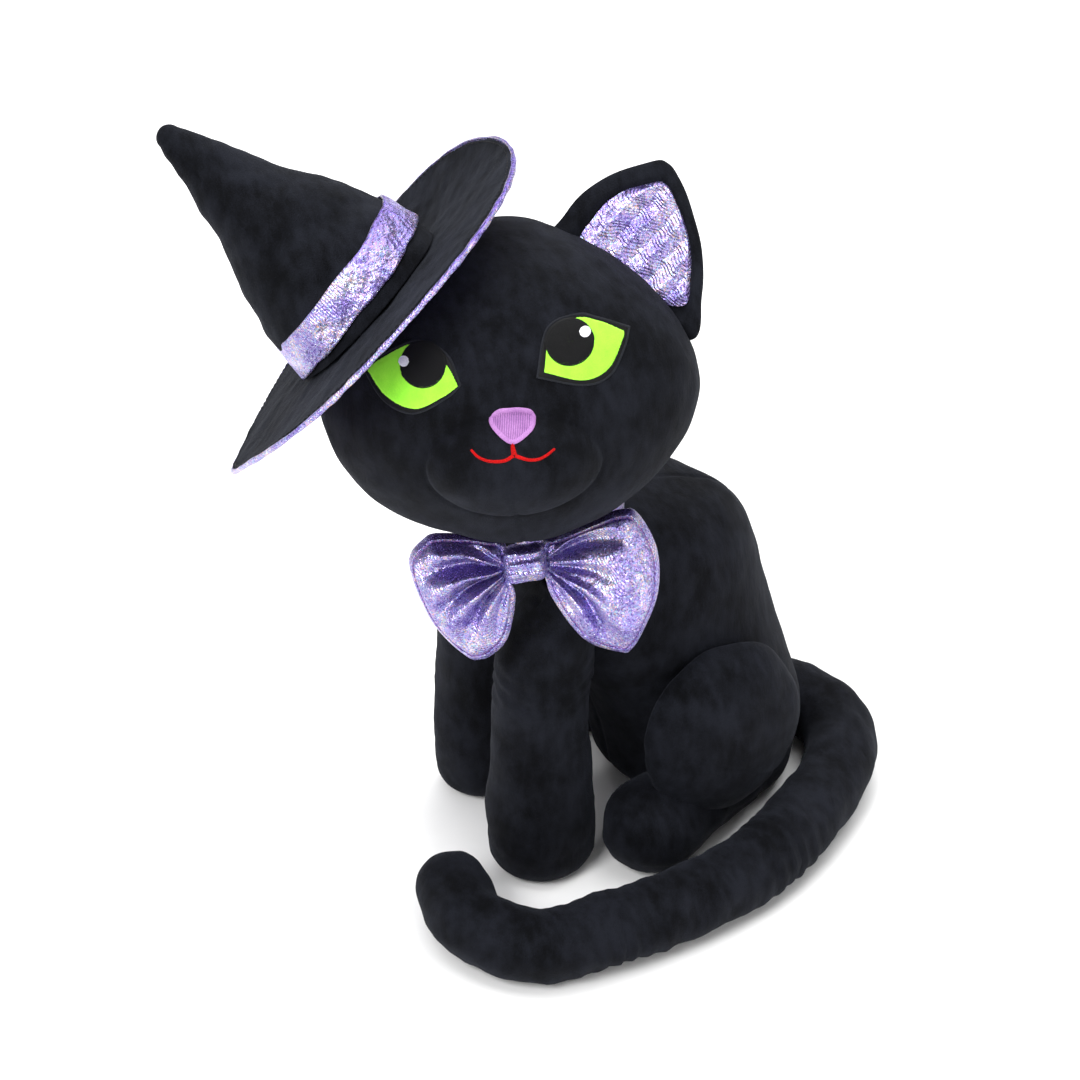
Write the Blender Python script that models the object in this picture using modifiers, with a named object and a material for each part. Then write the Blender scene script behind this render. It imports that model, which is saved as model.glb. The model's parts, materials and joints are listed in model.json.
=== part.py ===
# A sitting plush cat in a witch hat and a bow, as covers, fillings and trim.
# Metres, +Z up, the cat's body faces -Y, and the origin is the middle of the flat seat.
import math

import bmesh
import bpy
from mathutils import Euler, Matrix, Vector

WALL = 0.0025  # pile fabric of a cover
GAP = 0.0004  # air between neighbouring pieces
FIT = WALL + 0.0013  # how far a filling stays inside its cover's outside

# Torso: height, middle along Y, half depth, half width
TORSO = (
    (0.000, 0.000, 0.046, 0.046),
    (0.005, 0.002, 0.053, 0.052),
    (0.018, 0.006, 0.058, 0.058),
    (0.045, 0.004, 0.059, 0.061),
    (0.084, -0.008, 0.058, 0.060),
    (0.120, -0.023, 0.065, 0.057),
    (0.150, -0.034, 0.069, 0.054),
    (0.168, -0.042, 0.066, 0.051),
    (0.178, -0.050, 0.058, 0.045),
    (0.184, -0.062, 0.044, 0.035),
    (0.188, -0.077, 0.0295, 0.0295),
    (0.203, -0.080, 0.0285, 0.0285),
)
POUCH_TOP = 0.034
FILLING_TOP = 0.173

NECK = Vector((0.002, -0.080, 0.203))
COLLAR_RADIUS = 0.0345
COLLAR_HEIGHT = 0.013
COLLAR_RISE = -0.0045  # from the neck's joint
COLLAR_THICK = 0.0014
COLLAR_TILT = math.radians(12)
COLLAR_FACING = math.radians(60)

HEAD_CENTRE = Vector((0.015, -0.110, 0.277))
HEAD_TURN = (math.radians(-28), math.radians(-4), math.radians(58))
HEAD_HALF = (0.088, 0.074, 0.075)
CHEEK = 0.20  # how fast the head narrows above and below the cheeks
NECK_OPENING = 0.93  # cosine of the neck opening's half angle, seen from the head's middle

MUZZLE_AT = (0.002, -0.052, -0.034)
MUZZLE_HALF = (0.040, 0.030, 0.025)

LEG_AT = {"left": (0.037, -0.1020), "right": (-0.037, -0.1040)}
LEG = (  # height, radius
    (0.000, 0.016),
    (0.005, 0.0225),
    (0.015, 0.0262),
    (0.035, 0.0268),
    (0.065, 0.0245),
    (0.105, 0.0232),
    (0.130, 0.0215),
    (0.144, 0.0165),
    (0.151, 0.0080),
)
LEG_STRAIGHT = 0.110  # above this height the leg leans forward
LEG_LEAN = 0.20
SHOULDER = (0.034, -0.100, 0.128)

HAUNCH_AT = (0.0610, -0.013, 0.071)
HAUNCH_HALF = (0.0255, 0.049, 0.051)
HIP = (0.0625, 0.034, 0.071)
FOOT_AT = (0.064, -0.042, 0.0205)
FOOT_HALF = (0.0235, 0.036, 0.0215)

TAIL_RADIUS = 0.0188
TAIL_ROOT = Vector((0.006, 0.087, TAIL_RADIUS))
TAIL_BEND = Vector((0.111, -0.011, TAIL_RADIUS))
TAIL_CURL = Vector((0.118, -0.112, TAIL_RADIUS))
TAIL_FIRST = ((0.040, 0.080), (0.069, 0.060), (0.093, 0.027))
TAIL_SECOND = ((0.119, -0.040), (0.122, -0.080))
TAIL_THIRD = ((0.107, -0.150), (0.079, -0.167), (0.045, -0.162))

BOW_AT = Vector((0.0435, -0.1185, 0.1945))
BOW_TURN = (math.radians(-22), math.radians(-8), math.radians(60))
LOOPS = {  # distance from the knot's middle, drop, half height, half thickness
    "left": (
        (0.0130, 0.0015, 0.0100, 0.0060),
        (0.0200, 0.0110, 0.0230, 0.0095),
        (0.0310, 0.0145, 0.0300, 0.0115),
        (0.0440, 0.0140, 0.0325, 0.0110),
        (0.0545, 0.0090, 0.0270, 0.0085),
        (0.0615, 0.0065, 0.0160, 0.0050),
    ),
    "right": (
        (0.0130, 0.0110, 0.0200, 0.0060),
        (0.0200, 0.0135, 0.0280, 0.0095),
        (0.0310, 0.0130, 0.0300, 0.0115),
        (0.0400, 0.0080, 0.0260, 0.0110),
        (0.0480, 0.0020, 0.0190, 0.0080),
        (0.0525, 0.0000, 0.0110, 0.0050),
    ),
}
KNOT_HALF = (0.0120, 0.0095, 0.0115)

HAT_AT = Vector((-0.059, -0.010, 0.036))
HAT_UP = Vector((-0.69, -0.20, 0.69)).normalized()
HAT_ACROSS = Vector((0.68, 0.0, 0.73))
BRIM_RADIUS = 0.096
BRIM_LAYERS = (  # name, thickness, paint, inset of the edge
    ("brim_lining", 0.0011, "foil", 0.0),
    ("brim_foam", 0.0030, "foam", 0.004),
    ("brim_top", 0.0025, "velvet", 0.0),
)
BRIM_GAP = 0.0003
CROWN = ((0.0110, 0.0425), (0.0330, 0.0390), (0.0690, 0.0240))  # height, radius
CROWN_BEND = Vector((0.0, 0.0, 0.072))
CROWN_TIP = (  # height, radius, shift across
    (0.0785, 0.0195, 0.000),
    (0.1050, 0.0115, -0.003),
    (0.1230, 0.0065, -0.005),
    (0.1280, 0.0035, -0.005),
)
CROWN_CLEAR = 0.0018  # between the brim and the crown
BAND = (0.0140, 0.0320)
BAND_THICK = 0.0010
TIP_WALL = 0.0018

# Face embroidery outlines on the face, sideways and upwards from the head's middle
EYES = {
    "left": {
        "outline": ((0.0580, 0.0250), (0.0345, 0.0325), (0.0140, 0.0050), (0.0360, -0.0015)),
        "iris": ((0.0550, 0.0230), (0.0345, 0.0300), (0.0160, 0.0055), (0.0350, 0.0010)),
        "pupil": (0.0320, 0.0175),
        "highlight": (0.0385, 0.0235),
    },
    "right": {
        "outline": ((-0.0620, 0.0100), (-0.0410, 0.0225), (-0.0180, 0.0025), (-0.0400, -0.0085)),
        "iris": ((-0.0585, 0.0100), (-0.0400, 0.0200), (-0.0200, 0.0035), (-0.0400, -0.0060)),
        "pupil": (-0.0350, 0.0100),
        "highlight": (-0.0440, 0.0115),
    },
}
PUPIL_RADIUS = 0.0100
HIGHLIGHT_RADIUS = 0.0024
NOSE = ((-0.0062, -0.0090), (0.0135, -0.0090), (0.0115, -0.0165), (0.0040, -0.0235), (-0.0045, -0.0170))
MOUTH_AT = (0.0035, -0.0285)
MOUTH = (  # round the outline
    (0.0008, 0.0040),
    (-0.0008, 0.0040),
    (-0.0012, -0.0010),
    (-0.0100, -0.0035),
    (-0.0190, 0.0020),
    (-0.0185, 0.0006),
    (-0.0100, -0.0050),
    (0.0000, -0.0028),
    (0.0100, -0.0050),
    (0.0185, 0.0006),
    (0.0190, 0.0020),
    (0.0100, -0.0035),
    (0.0012, -0.0010),
)
THREAD = 0.0006
LAYER_GAP = 0.0003  # between layers of thread

# Ear outline in the plane of the ear
EAR_OUTLINE = (
    (0.024, 0.060),
    (0.043, 0.084),
    (0.074, 0.096),
    (0.081, 0.091),
    (0.091, 0.055),
    (0.087, 0.018),
    (0.058, 0.030),
)
EAR_MIDDLE = Vector((0.072, 0.0, 0.066))
EAR_THICK = 0.0070
EAR_BORDER = 0.78  # the lining's size within the ear
EAR_LINING = 0.0014
EAR_CLEAR = 0.0022  # between the ear and the head

PAINTS = {
    "velvet": ((0.012, 0.013, 0.017), 0.85, 0.0),
    "filling": ((0.85, 0.85, 0.83), 0.95, 0.0),
    "pellets": ((0.70, 0.70, 0.66), 0.60, 0.0),
    "foil": ((0.42, 0.33, 0.66), 0.30, 0.6),
    "foam": ((0.75, 0.75, 0.72), 0.90, 0.0),
    "green": ((0.45, 0.92, 0.09), 0.50, 0.0),
    "black thread": ((0.008, 0.008, 0.010), 0.45, 0.0),
    "grey thread": ((0.04, 0.042, 0.05), 0.50, 0.0),
    "white thread": ((0.80, 0.80, 0.82), 0.50, 0.0),
    "lilac thread": ((0.62, 0.30, 0.70), 0.50, 0.0),
    "red thread": ((0.75, 0.01, 0.01), 0.50, 0.0),
}


def clearScene():
    for old in list(bpy.data.objects):
        bpy.data.objects.remove(old, do_unlink=True)


def collectionNamed(name):
    made = bpy.data.collections.new(name)
    bpy.context.scene.collection.children.link(made)
    return made


def paint(name):
    colour, roughness, metallic = PAINTS[name]
    material = bpy.data.materials.get(name) or bpy.data.materials.new(name)
    material.use_nodes = True
    shader = material.node_tree.nodes["Principled BSDF"]
    shader.inputs["Base Color"].default_value = (*colour, 1.0)
    shader.inputs["Roughness"].default_value = roughness
    shader.inputs["Metallic"].default_value = metallic
    return material


def pivot(name, location, turn=(0.0, 0.0, 0.0), parent=None):
    empty = bpy.data.objects.new(name, None)
    partsCollection.objects.link(empty)
    empty.location = location
    empty.rotation_euler = turn
    empty.parent = parent
    return empty


def piece(name, bm, paintName, parent=None, location=(0.0, 0.0, 0.0)):
    bm.normal_update()
    bmesh.ops.recalc_face_normals(bm, faces=bm.faces)
    mesh = bpy.data.meshes.new(name)
    bm.to_mesh(mesh)
    bm.free()
    mesh.shade_smooth()
    mesh.materials.append(paint(paintName))
    made = bpy.data.objects.new(name, mesh)
    partsCollection.objects.link(made)
    made.parent = parent
    made.location = location
    return made


def cutter(name, bm, parent=None, location=(0.0, 0.0, 0.0)):
    made = piece(name, bm, "velvet", parent, location)
    partsCollection.objects.unlink(made)
    cutterCollection.objects.link(made)
    made.hide_render = True
    made.display_type = "WIRE"
    return made


def cut(target, tool, operation="DIFFERENCE"):
    boolean = target.modifiers.new(tool.name, "BOOLEAN")
    boolean.object = tool
    boolean.operation = operation


def solidify(target, thickness=WALL):
    shell = target.modifiers.new("wall", "SOLIDIFY")
    shell.thickness = thickness
    shell.offset = -1.0
    shell.use_even_offset = True


def loft(rings, sides, closeStart=True, closeEnd=True):
    # Each ring is a matrix that places a unit circle.
    bm = bmesh.new()
    loops = []
    for number, matrix in enumerate(rings):
        isEnd = (number == 0 and closeStart) or (number == len(rings) - 1 and closeEnd)
        circle = bmesh.ops.create_circle(bm, cap_ends=isEnd, segments=sides, radius=1.0, matrix=matrix)
        inRing = set(circle["verts"])
        loops.append([edge for edge in bm.edges if set(edge.verts) <= inRing])
    for lower, upper in zip(loops, loops[1:]):
        bmesh.ops.bridge_loops(bm, edges=lower + upper)
    return bm


def oval(centre, halfX, halfY, turn=Matrix.Identity(4)):
    return Matrix.Translation(centre) @ turn @ Matrix.Diagonal((halfX, halfY, 1.0, 1.0))


def valueAt(stations, height, column):
    for low, high in zip(stations, stations[1:]):
        if height <= high[0]:
            share = (height - low[0]) / (high[0] - low[0])
            return low[column] + share * (high[column] - low[column])
    return stations[-1][column]


def torsoRings(inset, low, high):
    inside = [row[0] for row in TORSO if low + 0.002 < row[0] < high - 0.002]
    rings = []
    for height in [low, *inside, high]:
        middle, halfY, halfX = (valueAt(TORSO, height, column) for column in (1, 2, 3))
        rings.append(oval((0.0, middle, height), halfX - inset, halfY - inset))
    return rings


def towards(direction):
    return Vector(direction).normalized().to_track_quat("Z", "Y").to_matrix()


def ball(half, sides=16, rings=10, pole=(0.0, 0.0, 1.0), openBeyond=2.0, grow=0.0, shape=None, floor=None):
    # A sphere with its pole turned, opened round the pole, and stretched to its half sizes.
    bm = bmesh.new()
    bmesh.ops.create_uvsphere(bm, u_segments=sides, v_segments=rings, radius=1.0)
    bmesh.ops.delete(bm, geom=[v for v in bm.verts if v.co.z > openBeyond], context="VERTS")
    turn = towards(pole)
    for vertex in bm.verts:
        unit = turn @ vertex.co
        if shape:
            vertex.co = shape(unit, grow)
        else:
            vertex.co = Vector([unit[i] * (half[i] + grow) for i in range(3)])
        if floor is not None:
            vertex.co.z = max(vertex.co.z, floor)
    return bm


def headShape(unit, grow):
    width = 1.0 - CHEEK * (unit.z + 0.15) ** 2
    half = [size + grow for size in HEAD_HALF]
    return Vector((unit.x * half[0] * width, unit.y * half[1], unit.z * half[2]))


def makeTorso():
    top = TORSO[-1][0]
    cover = piece("torso_cover", loft(torsoRings(0.0, 0.0, top), 24, closeEnd=False), "velvet")
    solidify(cover)
    piece("seat_pellet_pouch", loft(torsoRings(0.0065, FIT, POUCH_TOP), 16), "pellets")
    piece("torso_filling", loft(torsoRings(0.0095, POUCH_TOP + GAP, FILLING_TOP), 16), "filling")


def makeLeg(sign):
    name = "left" if sign > 0 else "right"
    shoulder = Vector((sign * SHOULDER[0], SHOULDER[1], SHOULDER[2]))
    parent = pivot(f"shoulder_{name}", shoulder)
    opening = LEG[-1][0]

    def rings(inset, low, high):
        inside = [row[0] for row in LEG if low + 0.002 < row[0] < high - 0.002]
        middle = Vector((*LEG_AT[name], 0.0)) - shoulder
        made = []
        for height in [low, *inside, high]:
            radius = valueAt(LEG, height, 1) - inset
            lean = LEG_LEAN * max(0.0, height - LEG_STRAIGHT)
            made.append(oval(middle + Vector((0.0, -lean, height)), radius, radius))
        return made

    shell = loft(rings(0.0, 0.0, opening), 16, closeEnd=False)
    solidify(piece(f"front_leg_{name}_cover", shell, "velvet", parent))
    stuffing = loft(rings(0.0050, FIT + 0.0005, opening - 0.008), 12)
    piece(f"front_leg_{name}_filling", stuffing, "filling", parent)


def makeHindLeg(sign):
    name = "left" if sign > 0 else "right"
    hip = Vector((sign * HIP[0], HIP[1], HIP[2]))
    parent = pivot(f"hip_{name}", hip)
    haunchAt = Vector((sign * HAUNCH_AT[0], HAUNCH_AT[1], HAUNCH_AT[2])) - hip
    footAt = Vector((sign * FOOT_AT[0], FOOT_AT[1], FOOT_AT[2])) - hip
    outward = (sign, 0.0, 0.0)
    inward = (-sign, 0.0, 0.0)

    shell = ball(HAUNCH_HALF, 18, 12, pole=inward, openBeyond=0.05)
    haunch = piece(f"haunch_{name}_cover", shell, "velvet", parent, haunchAt)
    solidify(haunch)
    fillHalf = [size - FIT for size in HAUNCH_HALF]
    stuffing = ball(fillHalf, 14, 8, pole=outward)
    filling = piece(f"haunch_{name}_filling", stuffing, "filling", parent, haunchAt)
    half = bmesh.new()
    bmesh.ops.create_cube(half, size=0.2)
    inside = cutter(f"inside_{name}", half, parent, haunchAt - Vector((sign * 0.100, 0.0, 0.0)))
    cut(filling, inside)

    floor = -FOOT_AT[2]
    up = (0.0, 0.45, 1.0)
    shell = ball(FOOT_HALF, pole=up, openBeyond=0.90, floor=floor)
    foot = piece(f"hind_foot_{name}_cover", shell, "velvet", parent, footAt)
    solidify(foot)
    footFill = [size - FIT for size in FOOT_HALF]
    stuffing = ball(footFill, 12, 8, pole=up, floor=floor + FIT)
    padding = piece(f"hind_foot_{name}_filling", stuffing, "filling", parent, footAt)
    space = cutter(f"foot_space_{name}", ball(FOOT_HALF, pole=up, grow=GAP), parent, footAt)
    cut(haunch, space)
    cut(filling, space)
    cut(foot, torsoSpace)
    cut(padding, torsoSpace)


def tubeRings(start, bends, finish, radius):
    points = [Vector((x, y, start.z)) for x, y in bends]
    points = [start, *points] + ([finish] if finish else [])
    rings = []
    for number, point in enumerate(points):
        ahead = points[min(number + 1, len(points) - 1)] - points[max(number - 1, 0)]
        turn = ahead.normalized().to_track_quat("Z", "Y").to_matrix().to_4x4()
        rings.append(oval(point, radius, radius, turn))
    for angle in (35, 65, 82):
        along = radius * math.sin(math.radians(angle))
        around = radius * math.cos(math.radians(angle))
        rings.append(oval(points[-1] + ahead.normalized() * along, around, around, turn))
    return rings


def makeTail():
    routes = (
        ("root", TAIL_ROOT, TAIL_FIRST, TAIL_BEND),
        ("middle", TAIL_BEND, TAIL_SECOND, TAIL_CURL),
        ("tip", TAIL_CURL, TAIL_THIRD, None),
    )
    for name, joint, bends, finish in routes:
        parent = pivot(f"tail_{name}_pivot", joint)
        first = Vector((*bends[0], joint.z))
        start = joint + (first - joint).normalized() * (TAIL_RADIUS + 0.0006)
        if name == "root":
            start = joint
        for kind, inset, sides in (("cover", 0.0, 16), ("filling", FIT + 0.0005, 12)):
            begin = start + (first - joint).normalized() * (inset if kind == "filling" else 0.0)
            rings = tubeRings(begin, bends, finish, TAIL_RADIUS - inset)
            bm = loft(rings, sides, kind == "filling")
            bmesh.ops.translate(bm, verts=bm.verts, vec=-joint)
            made = piece(f"tail_{name}_{kind}", bm, "velvet" if kind == "cover" else "filling", parent)
            if kind == "cover":
                solidify(made)


def makeHead():
    toNeck = -headOffset
    shell = ball(None, 26, 16, pole=toNeck, openBeyond=NECK_OPENING, shape=headShape)
    cover = piece("head_cover", shell, "velvet", headPivot, headOffset)
    solidify(cover)
    stuffing = ball(None, 16, 12, pole=toNeck, grow=-FIT - 0.0006, shape=headShape)
    piece("head_filling", stuffing, "filling", headPivot, headOffset)

    at = headOffset + Vector(MUZZLE_AT)
    inner = [size - WALL for size in MUZZLE_HALF]
    fill = [size - FIT for size in MUZZLE_HALF]
    hollow = cutter("muzzle_hollow", ball(inner, 18, 10), headPivot, at)
    muzzle = piece("muzzle_cover", ball(MUZZLE_HALF, 18, 10), "velvet", headPivot, at)
    cut(muzzle, headSpace)
    cut(muzzle, hollow)
    cut(piece("muzzle_filling", ball(fill, 14, 8), "filling", headPivot, at), headSpace)


def outlineSolid(name, points, low, high, smooth=False):
    # A flat outline in the head's XZ plane, filled and extruded along Y from low to high.
    curve = bpy.data.curves.new(name, "CURVE")
    curve.dimensions = "2D"
    curve.fill_mode = "BOTH"
    curve.extrude = (high - low) / 2
    curve.resolution_u = 3
    spline = curve.splines.new("BEZIER" if smooth else "POLY")
    if smooth:
        spline.bezier_points.add(len(points) - 1)
        for knot, (x, z) in zip(spline.bezier_points, points):
            knot.co = (x, z, 0.0)
            knot.handle_left_type = "AUTO"
            knot.handle_right_type = "AUTO"
    else:
        spline.points.add(len(points) - 1)
        for knot, (x, z) in zip(spline.points, points):
            knot.co = (x, z, 0.0, 1.0)
    spline.use_cyclic_u = True
    holder = bpy.data.objects.new(name, curve)
    bpy.context.scene.collection.objects.link(holder)
    graph = bpy.context.evaluated_depsgraph_get()
    mesh = bpy.data.meshes.new_from_object(holder.evaluated_get(graph))
    bm = bmesh.new()
    bm.from_mesh(mesh)
    bmesh.ops.remove_doubles(bm, verts=bm.verts, dist=0.00001)
    bmesh.ops.transform(bm, verts=bm.verts, matrix=Matrix.Rotation(math.radians(90), 4, "X"))
    bmesh.ops.translate(bm, verts=bm.verts, vec=(0.0, (low + high) / 2, 0.0))
    bpy.data.objects.remove(holder, do_unlink=True)
    bpy.data.curves.remove(curve)
    bpy.data.meshes.remove(mesh)
    return bm


def discPoints(centre, radius, count=12):
    turns = [2 * math.pi * k / count for k in range(count)]
    return [(centre[0] + radius * math.cos(t), centre[1] + radius * math.sin(t)) for t in turns]


def skull(grow):
    return ball(None, 26, 16, pole=-headOffset, grow=grow, shape=headShape)


def faceSolid(name, grow):
    # The head and its muzzle as one closed body, larger by grow.
    body = cutter(f"face_{name}", skull(grow), headPivot, headOffset)
    pad = ball(MUZZLE_HALF, 18, 10, grow=grow)
    cut(body, cutter(f"pad_{name}", pad, headPivot, headOffset + Vector(MUZZLE_AT)), "UNION")
    return body


def embroider(name, points, paintName, layer, smooth=False):
    made = piece(name, outlineSolid(name, points, -0.12, -0.02, smooth), paintName, headPivot, headOffset)
    cut(made, faceLevels[layer][1], "INTERSECT")
    cut(made, faceLevels[layer][0])


def makeFace():
    for side, eye in EYES.items():
        embroider(f"eye_{side}_outline", eye["outline"], "grey thread", 0)
        embroider(f"eye_{side}_iris", eye["iris"], "green", 1)
        embroider(f"eye_{side}_pupil", discPoints(eye["pupil"], PUPIL_RADIUS), "black thread", 2)
        spot = discPoints(eye["highlight"], HIGHLIGHT_RADIUS, 8)
        embroider(f"eye_{side}_highlight", spot, "white thread", 3)
    embroider("nose", NOSE, "lilac thread", 0)
    x, z = MOUTH_AT
    embroider("mouth", [(x + across, z + up) for across, up in reversed(MOUTH)], "red thread", 0)


def makeEar():
    corners = [Vector((x, 0.0, z)) for x, z in EAR_OUTLINE]
    base = (corners[0] + corners[5]) / 2
    parent = pivot("ear_left_pivot", headOffset + base, parent=headPivot)
    inset = [EAR_MIDDLE + (corner - EAR_MIDDLE) * EAR_BORDER for corner in corners]
    inner = [(point.x, point.z) for point in inset]
    front = -EAR_THICK / 2
    back = outlineSolid("ear", EAR_OUTLINE, front, -front)
    lining = outlineSolid("lining", inner, front - GAP - EAR_LINING, front - GAP)
    for name, bm, paintName in (("ear_left_back", back, "velvet"), ("ear_left_lining", lining, "foil")):
        bmesh.ops.translate(bm, verts=bm.verts, vec=-base)
        made = piece(name, bm, paintName, parent)
        cut(made, earSpace)


def hatRings(stations, inset=0.0):
    made = []
    for height, radius, *shift in stations:
        middle = (shift[0] if shift else 0.0, 0.0, height)
        made.append(oval(middle, radius - inset, radius - inset))
    return made


def makeHat():
    outward = HAT_UP.cross(HAT_ACROSS).normalized()
    across = outward.cross(HAT_UP)
    frame = Matrix((across, outward, HAT_UP)).transposed()
    hat = pivot("hat", headOffset + HAT_AT, frame.to_euler(), headPivot)
    low = 0.0
    for name, thick, paintName, inset in BRIM_LAYERS:
        radius = BRIM_RADIUS - inset
        brim = loft(hatRings(((low, radius), (low + thick, radius))), 32)
        cut(piece(f"hat_{name}", brim, paintName, hat), headSpace)
        low += thick + BRIM_GAP
    foot = (low + CROWN_CLEAR, CROWN[0][1] + 0.0002)
    stations = (foot, *CROWN)
    crown = piece("hat_crown_cover", loft(hatRings(stations), 24, False), "velvet", hat)
    solidify(crown)
    cut(crown, headSpace)
    fill = ((foot[0] + 0.0002, foot[1]), *CROWN[:-1], (CROWN[-1][0] - FIT, CROWN[-1][1] + 0.001))
    cut(piece("hat_crown_filling", loft(hatRings(fill, FIT + 0.0005), 16), "filling", hat), headSpace)
    tipPivot = pivot("hat_tip_pivot", CROWN_BEND, parent=hat)
    (height, radius, shift), second = CROWN_TIP[:2]
    tipCover = loft(hatRings(CROWN_TIP), 16, False)
    tipFilling = loft(hatRings(((height + 0.0005, radius, shift), second), FIT), 12)
    for bm in (tipCover, tipFilling):
        bmesh.ops.translate(bm, verts=bm.verts, vec=-CROWN_BEND)
    solidify(piece("hat_tip_cover", tipCover, "velvet", tipPivot), TIP_WALL)
    piece("hat_tip_filling", tipFilling, "filling", tipPivot)
    ring = []
    for height in BAND:
        radius = valueAt(stations, height, 1) + 0.0016
        ring.append(oval((0, 0, height), radius, radius))
    band = piece("hat_band", loft(ring, 24, False, False), "foil", hat)
    solidify(band, BAND_THICK)
    cut(band, headSpace)


def collarRing(halfHeight, radius, closed):
    rings = [oval((0, 0, side * halfHeight), radius, radius) for side in (-1, 1)]
    return loft(rings, 28, closed, closed)


def makeCollar():
    facing = Euler((0.0, 0.0, COLLAR_FACING)).to_matrix()
    tilt = (facing @ Euler((COLLAR_TILT, 0.0, 0.0)).to_matrix()).to_euler()
    collarPivot = pivot("neck_turn", NECK)
    outside = COLLAR_RADIUS + COLLAR_THICK
    ribbon = collarRing(COLLAR_HEIGHT / 2, outside, False)
    collar = piece("collar", ribbon, "foil", collarPivot, (0.0, 0.0, COLLAR_RISE))
    collar.rotation_euler = tilt
    solidify(collar, COLLAR_THICK)

    bow = pivot("bow", BOW_AT - NECK, BOW_TURN, collarPivot)
    knot = piece("bow_knot", ball(KNOT_HALF, 14, 10), "foil", bow)
    clear = collarRing(0.011, outside + GAP, True)
    wrap = cutter("collar_space", clear, collarPivot, (0.0, 0.0, COLLAR_RISE))
    wrap.rotation_euler = tilt
    cut(knot, wrap)
    standing = Matrix.Rotation(math.radians(90), 4, "Y")
    for side, sign in (("left", 1), ("right", -1)):
        hinge = pivot(f"bow_{side}_fold", (sign * KNOT_HALF[0], 0.0, 0.0), parent=bow)
        rings = []
        for along, drop, halfZ, halfY in LOOPS[side]:
            rings.append(oval((sign * (along - KNOT_HALF[0]), 0.0, -drop), halfZ, halfY, standing))
        piece(f"bow_{side}_loop", loft(rings, 18), "foil", hinge)


clearScene()
partsCollection = collectionNamed("plush_cat")
cutterCollection = collectionNamed("cutters")
headTurn = Euler(HEAD_TURN, "XYZ")
headOffset = headTurn.to_matrix().transposed() @ (HEAD_CENTRE - NECK)
headPivot = pivot("neck_nod", NECK, headTurn)
torsoSpace = cutter("torso_space", loft(torsoRings(-GAP, 0.0, TORSO[-1][0]), 24))
headSpace = cutter("head_space", skull(GAP), headPivot, headOffset)
earSpace = cutter("ear_space", skull(EAR_CLEAR), headPivot, headOffset)
faceLevels = []
for level in range(4):
    lower = GAP + level * (THREAD + LAYER_GAP)
    under = faceSolid(f"under_{level}", lower)
    over = faceSolid(f"over_{level}", lower + THREAD)
    faceLevels.append((under, over))

makeTorso()
for sideSign in (1, -1):
    makeLeg(sideSign)
    makeHindLeg(sideSign)
makeTail()
makeHead()
makeFace()
makeEar()
makeHat()
makeCollar()
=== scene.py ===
import json
import math
import random

import bmesh
import bpy
import numpy as np
from mathutils import Euler, Matrix, Vector
from mathutils.bvhtree import BVHTree


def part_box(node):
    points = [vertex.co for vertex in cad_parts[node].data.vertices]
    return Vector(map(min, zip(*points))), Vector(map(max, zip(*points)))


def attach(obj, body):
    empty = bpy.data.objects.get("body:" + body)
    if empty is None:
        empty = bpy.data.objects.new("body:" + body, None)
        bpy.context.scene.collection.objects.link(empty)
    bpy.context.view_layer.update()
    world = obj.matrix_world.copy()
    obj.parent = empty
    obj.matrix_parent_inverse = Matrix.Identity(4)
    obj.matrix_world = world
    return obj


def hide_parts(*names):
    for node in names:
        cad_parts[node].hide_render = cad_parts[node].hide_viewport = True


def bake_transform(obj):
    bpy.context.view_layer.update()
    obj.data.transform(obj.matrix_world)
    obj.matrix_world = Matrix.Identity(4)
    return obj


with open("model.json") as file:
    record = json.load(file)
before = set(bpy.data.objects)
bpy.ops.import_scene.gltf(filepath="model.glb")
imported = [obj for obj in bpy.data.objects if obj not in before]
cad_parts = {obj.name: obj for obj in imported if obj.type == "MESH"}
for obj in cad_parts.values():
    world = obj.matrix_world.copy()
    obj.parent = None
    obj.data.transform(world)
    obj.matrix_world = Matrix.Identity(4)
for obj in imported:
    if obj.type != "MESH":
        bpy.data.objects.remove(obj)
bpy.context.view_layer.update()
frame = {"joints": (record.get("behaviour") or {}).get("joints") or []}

joints = {joint["name"]: joint for joint in frame["joints"]}


def jointAt(name):
    return Vector(joints[name]["pos_m"])


# Shader maths and finishes

def plug(tree, value, slot):
    if isinstance(value, Socket):
        tree.links.new(value.output, slot)
    else:
        slot.default_value = value


class Socket:
    def __init__(self, tree, output):
        self.tree = tree
        self.output = output

    def join(self, operation, first, second):
        node = self.tree.nodes.new("ShaderNodeMath")
        node.operation = operation
        plug(self.tree, first, node.inputs[0])
        plug(self.tree, second, node.inputs[1])
        return Socket(self.tree, node.outputs[0])

    def __add__(self, other):
        return self.join("ADD", self, other)

    def __radd__(self, other):
        return self.join("ADD", other, self)

    def __sub__(self, other):
        return self.join("SUBTRACT", self, other)

    def __rsub__(self, other):
        return self.join("SUBTRACT", other, self)

    def __mul__(self, other):
        return self.join("MULTIPLY", self, other)

    def __rmul__(self, other):
        return self.join("MULTIPLY", other, self)

    def __pow__(self, other):
        return self.join("POWER", self, other)


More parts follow.
